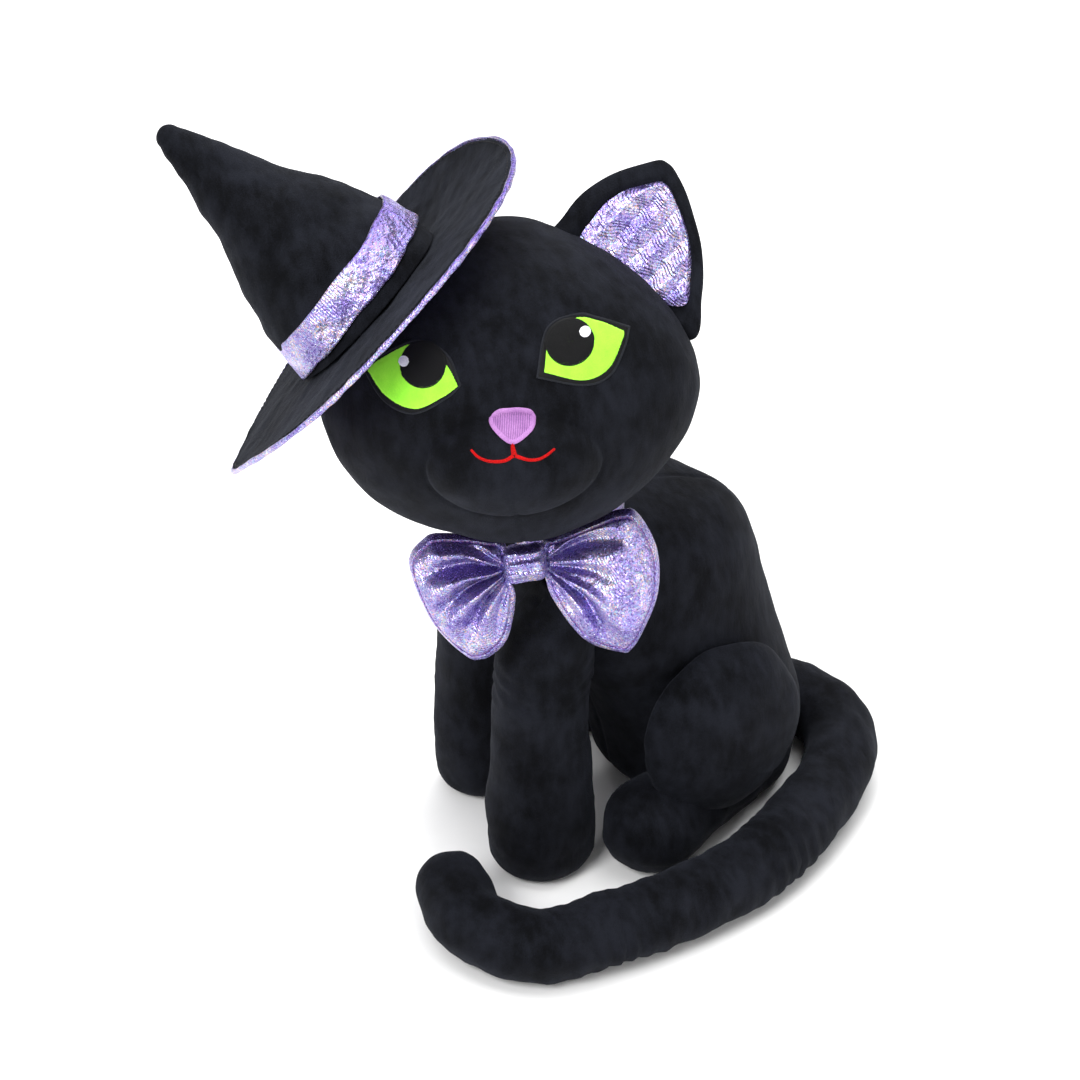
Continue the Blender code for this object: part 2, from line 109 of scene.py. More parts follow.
class Finish:
    def __init__(self, name, slot, fixed):
        self.material = bpy.data.materials.new(name)
        self.material.use_nodes = True
        self.slot = slot
        self.tree = self.material.node_tree
        self.shader = self.tree.nodes["Principled BSDF"]
        for label, value in fixed.items():
            self.shader.inputs[label].default_value = value
        self.place = self.node("ShaderNodeTexCoord", "Object")

    def node(self, kind, output=0, inputs=None, **settings):
        made = self.tree.nodes.new(kind)
        for label, value in settings.items():
            setattr(made, label, value)
        for label, value in (inputs or {}).items():
            plug(self.tree, value, made.inputs[label])
        return Socket(self.tree, made.outputs[output])

    def stretched(self, turn=(0.0, 0.0, 0.0), scale=(1.0, 1.0, 1.0)):
        return self.node("ShaderNodeMapping", 0, {"Vector": self.place, "Rotation": turn, "Scale": scale})

    def noise(self, size, detail=2.0, place=None, output=0):
        inputs = {"Vector": place or self.place, "Scale": 1.0 / size, "Detail": detail, "Roughness": 0.55}
        return self.node("ShaderNodeTexNoise", output, inputs)

    def cells(self, size, output="Color", place=None):
        return self.node("ShaderNodeTexVoronoi", output, {"Vector": place or self.place, "Scale": 1.0 / size})

    def spread(self, value, low, high):
        return self.node("ShaderNodeMapRange", 0, {"Value": value, "From Min": low, "From Max": high})

    def mix(self, share, first, second, blend="MIX"):
        inputs = {0: share, 6: first, 7: second}
        return self.node("ShaderNodeMix", 2, inputs, data_type="RGBA", blend_type=blend)

    def ramp(self, value, stops, kind="LINEAR"):
        made = self.tree.nodes.new("ShaderNodeValToRGB")
        made.color_ramp.interpolation = kind
        while len(made.color_ramp.elements) < len(stops):
            made.color_ramp.elements.new(0.5)
        for element, (at, colour) in zip(made.color_ramp.elements, stops):
            element.position = at
            element.color = (*colour, 1.0)
        plug(self.tree, value, made.inputs[0])
        return Socket(self.tree, made.outputs[0])

    def channel(self, colour, which=0):
        return self.node("ShaderNodeSeparateColor", which, {0: colour})

    def bump(self, height, strength, distance):
        return self.node("ShaderNodeBump", 0, {"Height": height, "Strength": strength, "Distance": distance})

    def set(self, label, value):
        plug(self.tree, value, self.shader.inputs[label])


def velvetFinish():
    pile = {
        "deep": (0.0015, 0.0017, 0.0026, 1), "brushed": (0.0088, 0.0098, 0.0142, 1),
        "fibre": 0.0006, "stroke": 0.007, "cloud": 0.028}
    finish = Finish("blackVelvet", "black_velvet", {
        "Sheen Weight": 0.04, "Sheen Roughness": 0.42, "Sheen Tint": (0.62, 0.68, 0.88, 1),
        "Specular IOR Level": 0.08})
    cloud = finish.noise(pile["cloud"], 2.0)
    stroke = finish.noise(pile["stroke"], 4.0, finish.stretched((0.3, 0.5, 0.2), (1.0, 1.5, 0.6)))
    fibre = finish.noise(pile["fibre"], 2.0)
    share = finish.spread(cloud * 0.50 + stroke * 0.38 + fibre * 0.26, 0.47, 0.68)
    finish.set("Base Color", finish.mix(share, pile["deep"], pile["brushed"]))
    finish.set("Roughness", fibre * 0.2 + 0.76)
    finish.set("Normal", finish.bump(fibre * 0.8 + stroke * 1.1, 0.55, 0.0010))
    return finish


def foilFinish():
    glitter = {
        "cell": 0.00062, "knit": 0.0011, "drift": 0.012,
        # the indigo is painted shade and reflection, mixed onto faces that point upwards
        "white": (0.84, 0.83, 0.95, 1), "paintedShadeIndigo": (0.070, 0.032, 0.260, 1)}
    finish = Finish("lilacFoil", "foil_fabric", {"Specular IOR Level": 0.5, "Sheen Weight": 0.0})
    cell = finish.cells(glitter["cell"])
    hue = finish.channel(cell, 0)
    flash = finish.channel(cell, 1)
    drift = finish.noise(glitter["drift"], 3.0)
    tone = finish.spread(hue * 0.42 + drift * 1.05, 0.34, 1.02)
    sparkle = finish.ramp(tone, (
        (0.00, (0.105, 0.070, 0.320)),
        (0.18, (0.170, 0.120, 0.420)),
        (0.36, (0.275, 0.205, 0.525)),
        (0.50, (0.355, 0.285, 0.610)),
        (0.62, (0.240, 0.350, 0.640)),
        (0.70, (0.460, 0.335, 0.620)),
        (0.80, (0.600, 0.365, 0.565)),
        (0.88, (0.330, 0.560, 0.680)),
        (0.95, (0.760, 0.390, 0.260)),
        (1.00, (0.680, 0.660, 0.800))))
    lit = finish.spread(flash, 0.91, 0.98)
    bright = finish.mix(lit * 0.75, sparkle, glitter["white"])
    # Painted shade and reflection: faces that point upwards turn dark indigo, standing in for the head's
    # shadow and its dark reflection on the foil.
    facing = finish.node("ShaderNodeSeparateXYZ", 2, {0: finish.node("ShaderNodeTexCoord", "Normal")})
    upward = finish.spread(facing + drift * 0.45 + hue * 0.10, 0.98, 1.24)
    finish.set("Base Color", finish.mix(upward * 0.85, bright, glitter["paintedShadeIndigo"]))
    finish.set("Metallic", 0.65 + flash * 0.3)
    finish.set("Roughness", 0.22 + hue * 0.18)
    rows = finish.node("ShaderNodeTexWave", 1, {
        "Vector": finish.stretched((0.4, 0.9, 0.3)), "Scale": 0.32 / glitter["knit"],
        "Distortion": 1.5, "Detail": 1.0})
    crinkle = finish.noise(0.0050, 3.0)
    finish.set("Normal", finish.bump(rows * 0.35 + hue * 0.35 + crinkle * 3.2, 0.60, 0.0009))
    return finish


def threadFinish(name, slot, colour, darker, shine=0.50, level=0.30):
    finish = Finish(name, slot, {"Specular IOR Level": level, "Sheen Weight": 0.04, "Sheen Roughness": 0.4})
    strand = finish.noise(0.0005, 2.0)
    wear = finish.noise(0.006, 2.0)
    share = finish.spread(strand * 0.6 + wear * 0.4, 0.35, 0.65)
    finish.set("Base Color", finish.mix(share, (*darker, 1), (*colour, 1)))
    finish.set("Roughness", strand * 0.2 + shine)
    finish.set("Normal", finish.bump(strand, 0.35, 0.0003))
    return finish


velvet = velvetFinish()
foil = foilFinish()
greenThread = threadFinish("greenThread", "green_thread", (0.43, 1.0, 0.060), (0.30, 0.88, 0.04))
blackThread = threadFinish(
    "blackThread", "black_thread", (0.0045, 0.0045, 0.0052), (0.0015, 0.0015, 0.0019), 0.5, 0.16)
greyThread = threadFinish(
    "greyThread", "grey_thread", (0.017, 0.019, 0.026), (0.007, 0.008, 0.012), 0.5, 0.2)
whiteThread = threadFinish("whiteThread", "white_thread", (0.90, 0.90, 0.94), (0.60, 0.60, 0.66))
lilacThread = threadFinish("lilacThread", "lilac_thread", (0.49, 0.245, 0.54), (0.31, 0.13, 0.37))
redThread = threadFinish("redThread", "red_thread", (0.64, 0.005, 0.005), (0.34, 0.002, 0.002), 0.55, 0.12)
# A darker lilac for the sheet under the nose's columns: painted shade in the gaps between the thread columns.
noseGapShadeThread = threadFinish("noseGapShadeThread", "lilac_thread", (0.22, 0.09, 0.28), (0.13, 0.05, 0.18))
print("finishes made")


# Mesh helpers

def smoothRows(rows, steps, closed=False):
    # A curve through rows of numbers, in equal steps between neighbours.
    rows = np.array(rows, float)
    if closed:
        ends = np.vstack([rows[-1], rows, rows[0], rows[1]])
    else:
        ends = np.vstack([2 * rows[0] - rows[1], rows, 2 * rows[-1] - rows[-2]])
    made = []
    for k in range(len(ends) - 3):
        before, start, finish, after = ends[k:k + 4]
        for t in np.linspace(0.0, 1.0, steps, endpoint=False):
            bend = (2 * before - 5 * start + 4 * finish - after) * t * t
            turn = (3 * start - before - 3 * finish + after) * t ** 3
            made.append((2 * start + (finish - before) * t + bend + turn) / 2)
    if not closed:
        made.append(rows[-1])
    return np.array(made)


def evenLoop(points, count):
    # The same closed outline with its points equally far apart.
    ring = np.vstack([points, points[:1]])
    walked = np.concatenate([[0.0], np.cumsum(np.linalg.norm(np.diff(ring, axis=0), axis=1))])
    stops = np.linspace(0.0, walked[-1], count, endpoint=False)
    return np.array([np.interp(stops, walked, ring[:, k]) for k in range(ring.shape[1])]).T


def cornered(edges, count):
    # A closed outline of smooth edges that meet at corners.
    return evenLoop(np.vstack([smoothRows(edge, 10)[:-1] for edge in edges]), count)


def evenLine(points, spacing):
    walked = np.concatenate([[0.0], np.cumsum(np.linalg.norm(np.diff(points, axis=0), axis=1))])
    count = max(2, int(walked[-1] / spacing) + 1)
    stops = np.linspace(0.0, walked[-1], count)
    return np.array([np.interp(stops, walked, points[:, k]) for k in range(points.shape[1])]).T


def ripple(points, size, seed):
    # Soft unevenness from -1 to 1, about size across.
    chance = random.Random(seed)
    total = np.zeros(len(points))
    for wave in range(9):
        direction = np.array([chance.gauss(0, 1) for _ in range(3)])
        direction /= np.linalg.norm(direction)
        length = size * chance.uniform(0.7, 1.6)
        total += np.sin(points @ direction * 2 * math.pi / length + chance.uniform(0, 6.3))
    return total / 4.5


def meshPiece(name, points, faces, finish, outward=True):
    mesh = bpy.data.meshes.new(name)
    mesh.from_pydata([tuple(p) for p in points], [], faces)
    bm = bmesh.new()
    bm.from_mesh(mesh)
    bmesh.ops.recalc_face_normals(bm, faces=bm.faces)
    centre = sum((v.co for v in bm.verts), Vector()) / len(bm.verts)
    facing = sum(
        face.normal.dot(face.calc_center_median() - centre) * face.calc_area() for face in bm.faces)
    if outward and facing < 0:
        bmesh.ops.reverse_faces(bm, faces=bm.faces)
    bm.to_mesh(mesh)
    bm.free()
    mesh.shade_smooth()
    mesh.materials.append(finish.material)
    made = bpy.data.objects.new(name, mesh)
    bpy.context.scene.collection.objects.link(made)
    return made


def gridFaces(rows, around, roundTheRows=False):
    faces = []
    for i in range(rows if roundTheRows else rows - 1):
        low, high = i * around, (i + 1) % rows * around
        for j in range(around):
            k = (j + 1) % around
            faces.append((low + j, low + k, high + k, high + j))
    return faces


def gridPiece(name, grid, finish, capFirst=True, capLast=True, roundTheRows=False):
    rows, around = grid.shape[:2]
    points = list(grid.reshape(-1, 3))
    faces = gridFaces(rows, around, roundTheRows)
    for wanted, row in ((capFirst, 0), (capLast, rows - 1)):
        if wanted:
            points.append(grid[row].mean(axis=0))
            tip = len(points) - 1
            faces += [(row * around + j, row * around + (j + 1) % around, tip) for j in range(around)]
    return meshPiece(name, np.array(points), faces, finish)


def normalsOf(piece):
    found = np.zeros(len(piece.data.vertices) * 3)
    piece.data.vertex_normals.foreach_get("vector", found)
    return found.reshape(-1, 3)


def pointsOf(piece):
    found = np.zeros(len(piece.data.vertices) * 3)
    piece.data.vertices.foreach_get("co", found)
    return found.reshape(-1, 3)


def press(piece, amount):
    # Moves the skin along its normals; amount takes the points and gives metres outwards.
    points = pointsOf(piece)
    points += normalsOf(piece) * amount(points)[:, None]
    piece.data.vertices.foreach_set("co", points.reshape(-1))
    piece.data.update()
    return piece


def tube(path, halfSide, halfUp, around, up=(0, 0, 1)):
    # Rings along a path; each ring is level with the given upward direction.
    path = np.array(path, float)
    ahead = np.gradient(path, axis=0)
    ahead /= np.linalg.norm(ahead, axis=1)[:, None]
    side = np.cross(ahead, np.array(up, float))
    side /= np.linalg.norm(side, axis=1)[:, None]
    above = np.cross(side, ahead)
    turns = np.linspace(0, 2 * math.pi, around, endpoint=False)
    across = np.cos(turns)[None, :, None] * side[:, None, :] * np.array(halfSide)[:, None, None]
    over = np.sin(turns)[None, :, None] * above[:, None, :] * np.array(halfUp)[:, None, None]
    return path[:, None, :] + across + over


def roundEnd(path, half, steps=10):
    # Adds a rounded end to a path and its half widths.
    path, half = np.array(path, float), np.array(half, float)
    ahead = path[-1] - path[-2]
    ahead /= np.linalg.norm(ahead)
    angles = np.linspace(0.15, 1.54, steps)
    beyond = [path[-1] + ahead * half[-1] * math.sin(a) for a in angles]
    return np.vstack([path, beyond]), np.concatenate([half, half[-1] * np.cos(angles)])


def placeAt(spot, turn):
    # Moves a piece to a spot after turning it by degrees about X, Y and Z.
    turned = Euler([math.radians(a) for a in turn], "XYZ").to_matrix().to_4x4()
    return Matrix.Translation(spot) @ turned


def groove(distance, width, depth):
    return -depth * np.exp(-(distance / width) ** 2)


# Geometry Nodes for threads and stitches

def newTree(name, sizes):
    # A node tree that takes a mesh of lines, its sizes and a thread, and gives a mesh.
    tree = bpy.data.node_groups.new(name, "GeometryNodeTree")
    face = tree.interface
    face.new_socket("Geometry", in_out="INPUT", socket_type="NodeSocketGeometry")
    for label in sizes:
        face.new_socket(label, in_out="INPUT", socket_type="NodeSocketFloat")
    face.new_socket("Thread", in_out="INPUT", socket_type="NodeSocketMaterial")
    face.new_socket("Geometry", in_out="OUTPUT", socket_type="NodeSocketGeometry")
    return tree, tree.nodes.new("NodeGroupInput"), tree.nodes.new("NodeGroupOutput")


def connect(tree, *links):
    for source, output, target, entry in links:
        tree.links.new(source.outputs[output], target.inputs[entry])


def threadTree():
    tree, given, done = newTree("threads", ("Thickness",))
    make = tree.nodes.new
    curve = make("GeometryNodeMeshToCurve")
    ring = make("GeometryNodeCurvePrimitiveCircle")
    sweep = make("GeometryNodeCurveToMesh")
    smooth = make("GeometryNodeSetShadeSmooth")
    real = make("GeometryNodeRealizeInstances")
    paint = make("GeometryNodeSetMaterial")
    ring.inputs["Resolution"].default_value = 5
    sweep.inputs["Fill Caps"].default_value = True
    connect(
        tree,
        (given, "Geometry", curve, "Mesh"),
        (given, "Thickness", ring, "Radius"),
        (curve, "Curve", sweep, "Curve"),
        (ring, "Curve", sweep, "Profile Curve"),
        (sweep, "Mesh", smooth, "Geometry"),
        (smooth, "Geometry", real, "Geometry"),
        (real, "Geometry", paint, "Geometry"),
        (given, "Thread", paint, "Material"),
        (paint, "Geometry", done, "Geometry"))
    return tree


def stitchTree():
    tree, given, done = newTree("stitches", ("Spacing", "Length", "Thickness"))
    make = tree.nodes.new
    curve = make("GeometryNodeMeshToCurve")
    even = make("GeometryNodeResampleCurve")
    along = make("GeometryNodeInputTangent")
    bead = make("GeometryNodeMeshUVSphere")
    size = make("ShaderNodeCombineXYZ")
    place = make("GeometryNodeInstanceOnPoints")
    aim = make("FunctionNodeAlignRotationToVector")
    smooth = make("GeometryNodeSetShadeSmooth")
    real = make("GeometryNodeRealizeInstances")
    paint = make("GeometryNodeSetMaterial")
    even.mode = "LENGTH"
    aim.axis = "Z"
    bead.inputs["Segments"].default_value = 6
    bead.inputs["Rings"].default_value = 5
    bead.inputs["Radius"].default_value = 1.0
    connect(
        tree,
        (given, "Geometry", curve, "Mesh"),
        (curve, "Curve", even, "Curve"),
        (given, "Spacing", even, "Length"),
        (even, "Curve", place, "Points"),
        (bead, "Mesh", place, "Instance"),
        (along, "Tangent", aim, "Vector"),
        (aim, "Rotation", place, "Rotation"),
        (given, "Thickness", size, "X"),
        (given, "Thickness", size, "Y"),
        (given, "Length", size, "Z"),
        (size, "Vector", place, "Scale"),
        (place, "Instances", real, "Geometry"),
        (real, "Geometry", smooth, "Geometry"),
        (smooth, "Geometry", paint, "Geometry"),
        (given, "Thread", paint, "Material"),
        (paint, "Geometry", done, "Geometry"))
    return tree


threads = threadTree()
stitches = stitchTree()


def sewn(name, lines, tree, finish, settings):
    # Turns lines of points into threads or stitches with a node tree, as one plain mesh.
    points, edges = [], []
    for line in lines:
        first = len(points)
        points += [tuple(p) for p in line]
        edges += [(k, k + 1) for k in range(first, len(points) - 1)]
    guide = bpy.data.meshes.new(name)
    guide.from_pydata(points, edges, [])
    made = bpy.data.objects.new(name, guide)
    bpy.context.scene.collection.objects.link(made)
    modifier = made.modifiers.new("sewing", "NODES")
    modifier.node_group = tree
    settings = {**settings, "Thread": finish.material}
    for item in tree.interface.items_tree:
        if item.in_out == "INPUT" and item.name in settings:
            modifier[item.identifier] = settings[item.name]
    graph = bpy.context.evaluated_depsgraph_get()
    mesh = bpy.data.meshes.new_from_object(made.evaluated_get(graph))
    made.modifiers.clear()
    made.data = mesh
    return made


def scanLines(outline, angle, pitch, seed=1, ragged=0.0):
    # Parallel rows across a closed outline in the plane, as start and end points.
    chance = random.Random(seed)
    turn = np.array([[math.cos(angle), math.sin(angle)], [-math.sin(angle), math.cos(angle)]])
    flat = outline @ turn.T
    rows = []
    for level in np.arange(flat[:, 1].min() + pitch / 2, flat[:, 1].max(), pitch):
        hits = []
        for a, b in zip(flat, np.roll(flat, -1, axis=0)):
            if (a[1] - level) * (b[1] - level) < 0:
                hits.append(a[0] + (level - a[1]) / (b[1] - a[1]) * (b[0] - a[0]))
        hits.sort()
        for low, high in zip(hits[::2], hits[1::2]):
            low, high = low + chance.uniform(0, ragged), high - chance.uniform(0, ragged)
            if high - low > pitch:
                rows.append((np.array([low, level]) @ turn, np.array([high, level]) @ turn))
    return rows


# Torso

torsoShape = {
    "rows": (  # height, middle along Y, half depth, half width
        (0.000, 0.0095, 0.0310, 0.040), (0.004, 0.0095, 0.0385, 0.047), (0.010, 0.0100, 0.0470, 0.053),
        (0.020, 0.0075, 0.0515, 0.0575), (0.045, 0.0055, 0.0550, 0.060),
        (0.084, -0.0075, 0.0570, 0.060), (0.120, -0.0245, 0.0635, 0.057),
        (0.150, -0.036, 0.068, 0.054), (0.166, -0.0425, 0.0665, 0.051), (0.178, -0.050, 0.059, 0.045),
        (0.186, -0.062, 0.045, 0.036), (0.192, -0.075, 0.031, 0.0300), (0.206, -0.080, 0.0285, 0.0285),
        (0.214, -0.082, 0.0270, 0.0270)),
    "around": 240, "seam": 0.0011, "sag": 0.0012}


def makeTorso():
    rows = smoothRows(torsoShape["rows"], 8)
    turns = np.linspace(0, 2 * math.pi, torsoShape["around"], endpoint=False)
    grid = np.zeros((len(rows), len(turns), 3))
    for ring, (height, middle, halfY, halfX) in zip(grid, rows):
        ring[:, 0] = np.cos(turns) * halfX
        ring[:, 1] = middle + np.sin(turns) * halfY
        ring[:, 2] = max(height, 0.0)
    torso = gridPiece("torsoSkin", grid, velvet)

    def settle(points):
        free = np.clip((points[:, 2] - 0.004) / 0.02, 0, 1)
        free *= np.clip((0.190 - points[:, 2]) / 0.01, 0, 1)
        uneven = ripple(points, 0.045, 3) * torsoShape["sag"] + ripple(points, 0.014, 4) * 0.0003
        chest = np.exp(-((points[:, 2] - 0.140) / 0.022) ** 2) * (points[:, 1] < -0.06)
        creases = chest * ripple(points * np.array([0.4, 1, 1.6]), 0.012, 5) * 0.0006
        return free * (uneven + creases + groove(points[:, 0], 0.0016, torsoShape["seam"]))

    press(torso, settle)
    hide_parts("torso_cover", "torso_filling", "seat_pellet_pouch")
    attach(torso, "torso")


makeTorso()
print("torso made")


# Front legs

legShape = {
    "rows": (  # height, half width
        (0.0005, 0.0150), (0.0030, 0.0205), (0.0085, 0.0250), (0.0180, 0.0268), (0.0360, 0.0270),
        (0.0650, 0.0250), (0.0900, 0.0240), (0.1080, 0.0240), (0.1280, 0.0238), (0.1450, 0.0225),
        (0.1580, 0.0180), (0.1660, 0.0100)),
    "straight": 0.106, "lean": -0.12, "slope": (0.128, 0.164), "around": 150,
    "shift": {"left": (-0.004, -0.0025), "right": (-0.0035, 0.0070)}, "slim": {"left": 1.0, "right": 0.94}}


def makeFrontLeg(side):
    low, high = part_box(f"front_leg_{side}_cover")
    shift = legShape["shift"][side]
    x = (low.x + high.x) / 2 + shift[0]
    y = low.y + legShape["rows"][4][1] + 0.0004 + shift[1]
    rows = smoothRows(legShape["rows"], 8)
    path = [(x, y - legShape["lean"] * max(0.0, h - legShape["straight"]), h) for h, _ in rows]
    turns = np.linspace(0, 2 * math.pi, legShape["around"], endpoint=False)
    grid = np.zeros((len(rows), len(turns), 3))
    slopeFrom, slopeTo = legShape["slope"]
    for ring, (height, half), middle in zip(grid, rows, path):
        half *= legShape["slim"][side]
        above = min(1.0, max(0.0, (height - slopeFrom) / (slopeTo - slopeFrom)))
        front = np.where(np.sin(turns) < 0, 1 - 0.75 * above ** 1.5, 1.0)
        ring[:, 0] = middle[0] + np.cos(turns) * half
        ring[:, 1] = middle[1] + np.sin(turns) * half * 1.02 * front
        ring[:, 2] = height
    leg = gridPiece(f"frontLegSkin_{side}", grid, velvet)
    seed = 11 if side == "left" else 12

    def settle(points):
        free = np.clip((points[:, 2] - 0.002) / 0.01, 0, 1)
        fold = np.exp(-((points[:, 2] - 0.118) / 0.010) ** 2)
        slant = points[:, 2] + (points[:, 0] - x) * 0.25
        folds = fold * np.sin(slant * 2 * math.pi / 0.0085) * 0.0007
        inner = -1 if side == "left" else 1
        seam = groove(points[:, 1] - y, 0.0016, 0.0008) * ((points[:, 0] - x) * inner > 0)
        uneven = ripple(points, 0.030, seed) * 0.0008 + ripple(points, 0.010, seed + 5) * 0.00025
        return free * (uneven + folds + seam)

    press(leg, settle)
    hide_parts(f"front_leg_{side}_cover", f"front_leg_{side}_filling")
    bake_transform(leg)


for side in ("left", "right"):
    makeFrontLeg(side)
print("front legs made")


# Hind legs

hindShape = {
    "haunchHalf": (0.0250, 0.0440, 0.0490), "forward": 0.0040, "inner": 0.42,
    "foot": (  # sideways, along Y, height, half width
        (0.0430, 0.0080, 0.0200, 0.0175), (0.0475, -0.0150, 0.0205, 0.0200),
        (0.0545, -0.0360, 0.0222, 0.0232), (0.0618, -0.0560, 0.0240, 0.0252)),
    "footBack": {"left": 0.0, "right": 0.010}}


def ballPoints(level):
    bm = bmesh.new()
    bmesh.ops.create_icosphere(bm, subdivisions=level, radius=1.0)
    units = np.array([v.co for v in bm.verts])
    faces = [tuple(v.index for v in face.verts) for face in bm.faces]
    bm.free()
    return units, faces


def makeHindLeg(side):
    sign = 1 if side == "left" else -1
    low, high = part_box(f"haunch_{side}_cover")
    outer = high.x if sign > 0 else low.x
    half = hindShape["haunchHalf"]
    y, z = (low.y + high.y) / 2 - hindShape["forward"], (low.z + high.z) / 2
    middle = np.array([outer - sign * half[0], y, z])
    units, faces = ballPoints(7)
    stretch = np.where((units[:, :1] * sign) > 0, 1.0, hindShape["inner"])
    points = units * np.array(half) * np.hstack([stretch, np.ones((len(units), 2))]) + middle
    haunch = meshPiece(f"haunchSkin_{side}", points, faces, velvet)

    def settle(points):
        rest = points - middle
        dart = np.abs(rest[:, 1] * 0.50 + rest[:, 2] * 0.86 + 0.012)
        reach = np.clip((0.020 - rest[:, 2]) / 0.03, 0, 1) * np.clip(rest[:, 0] * sign / 0.01, 0, 1)
        uneven = ripple(points, 0.034, 21) * 0.0009 + ripple(points, 0.011, 22) * 0.0003
        return uneven + groove(dart, 0.002, 0.0006) * reach

    press(haunch, settle)
    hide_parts(f"haunch_{side}_cover", f"haunch_{side}_filling")
    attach(haunch, f"hind_leg_{side}")

    rows = smoothRows(hindShape["foot"], 10) * np.array([sign, 1, 1, 1])
    rows[:, 1] += hindShape["footBack"][side]
    path, widths = roundEnd(rows[:, :3], rows[:, 3])
    grid = tube(path, widths, widths * 0.95, 120)
    grid[:, :, 2] = np.maximum(grid[:, :, 2], 0.0006)
    foot = gridPiece(f"hindFootSkin_{side}", grid, velvet)

    def settleFoot(points):
        free = np.clip((points[:, 2] - 0.002) / 0.008, 0, 1)
        uneven = ripple(points, 0.024, 31) * 0.0007 + ripple(points, 0.009, 32) * 0.00025
        return free * (uneven + groove(points[:, 2] - 0.014, 0.0014, 0.0005))

    press(foot, settleFoot)
    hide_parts(f"hind_foot_{side}_cover", f"hind_foot_{side}_filling")
    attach(foot, f"hind_leg_{side}")


for side in ("left", "right"):
    makeHindLeg(side)
print("hind legs made")


# Tail

tailShape = {
    "half": 0.0184, "around": 120, "start": ((-0.022, 0.036), (-0.010, 0.060)),
    "shift": ((0.006, -0.013), (-0.0065, 0.0), (-0.0035, 0.0)),
    "parts": (
        ("root", ((0.036, 0.0745), (0.060, 0.0600), (0.0835, 0.0290))),
        ("middle", ((0.1130, -0.042), (0.1165, -0.080))),
        ("tip", ((0.109, -0.148), (0.080, -0.168), (0.050, -0.164)))),
    "wrinkles": 0.0009}


def makeTail():
    pivots = [jointAt("tail_root_sway"), jointAt("tail_middle_bend"), jointAt("tail_tip_bend")]
    route, starts = list(tailShape["start"]), []
    for pivot, shift, (_, bends) in zip(pivots, tailShape["shift"], tailShape["parts"]):
        starts.append(len(route))
        route += [(pivot.x + shift[0], pivot.y + shift[1]), *bends]
    height = pivots[0].z
    steps = 14
    path = smoothRows([(x, y, height + 0.0004) for x, y in route], steps)
    half = np.full(len(path), tailShape["half"])
    half[:steps * 4] *= np.linspace(1.08, 1.0, steps * 4)
    path, half = roundEnd(path, half, 14)
    grid = tube(path, half, half * 0.985, tailShape["around"])
    walked = np.concatenate([[0.0], np.cumsum(np.linalg.norm(np.diff(path, axis=0), axis=1))])
    turns = np.linspace(0, 2 * math.pi, tailShape["around"], endpoint=False)
    flat = grid.reshape(-1, 3)
    uneven = (ripple(flat, 0.026, 41) * 0.0008 + ripple(flat, 0.009, 42) * 0.0003).reshape(grid.shape[:2])
    for i, (middle, at) in enumerate(zip(path, walked)):
        near = sum(math.exp(-((at - walked[starts[k] * steps]) / 0.026) ** 2) for k in (1, 2))
        fold = near * tailShape["wrinkles"] * math.sin(at * 2 * math.pi / 0.0092 + 0.8 * math.sin(at * 130))
        inside = 0.35 + 0.65 * np.clip(-np.cos(turns), 0, 1)
        low = groove(np.angle(np.exp(1j * (turns + 0.62))) * tailShape["half"], 0.0012, 0.0009)
        size = 1 + (uneven[i] + fold * inside + low) / max(half[i], 0.006) * min(1, half[i] / 0.012)
        grid[i] = middle + (grid[i] - middle) * size[:, None]
    grid[:, :, 2] = np.maximum(grid[:, :, 2], 0.0004)
    ends = [0] + [start * steps for start in starts[1:]] + [len(path) - 1]
    for k, (name, _) in enumerate(tailShape["parts"]):
        part = grid[ends[k]:ends[k + 1] + 1]
        tail = gridPiece(f"tailSkin_{name}", part, velvet, k == 0, k == 2)
        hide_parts(f"tail_{name}_cover", f"tail_{name}_filling")
        begin = Vector(path[starts[k] * steps])
        onward = (Vector(path[starts[k] * steps + 2]) - begin).normalized()
        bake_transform(tail)


makeTail()
print("tail made")


# Head and muzzle, built about the head's own middle

headShape = {
    "fromNeck": (0.013, -0.030, 0.074), "turn": (-28, -4, 58), "half": (0.088, 0.074, 0.075),
    "cheek": 0.20, "seam": 0.0010,
    "muzzleAt": (0.0040, -0.0505, -0.0310), "muzzleHalf": (0.0405, 0.0315, 0.0270),
    "jowl": (-0.821, -0.114, -0.560), "jowlSize": 0.0042}

headCentre = jointAt("head_nod") + Vector(headShape["fromNeck"])
headMatrix = placeAt(headCentre, headShape["turn"])


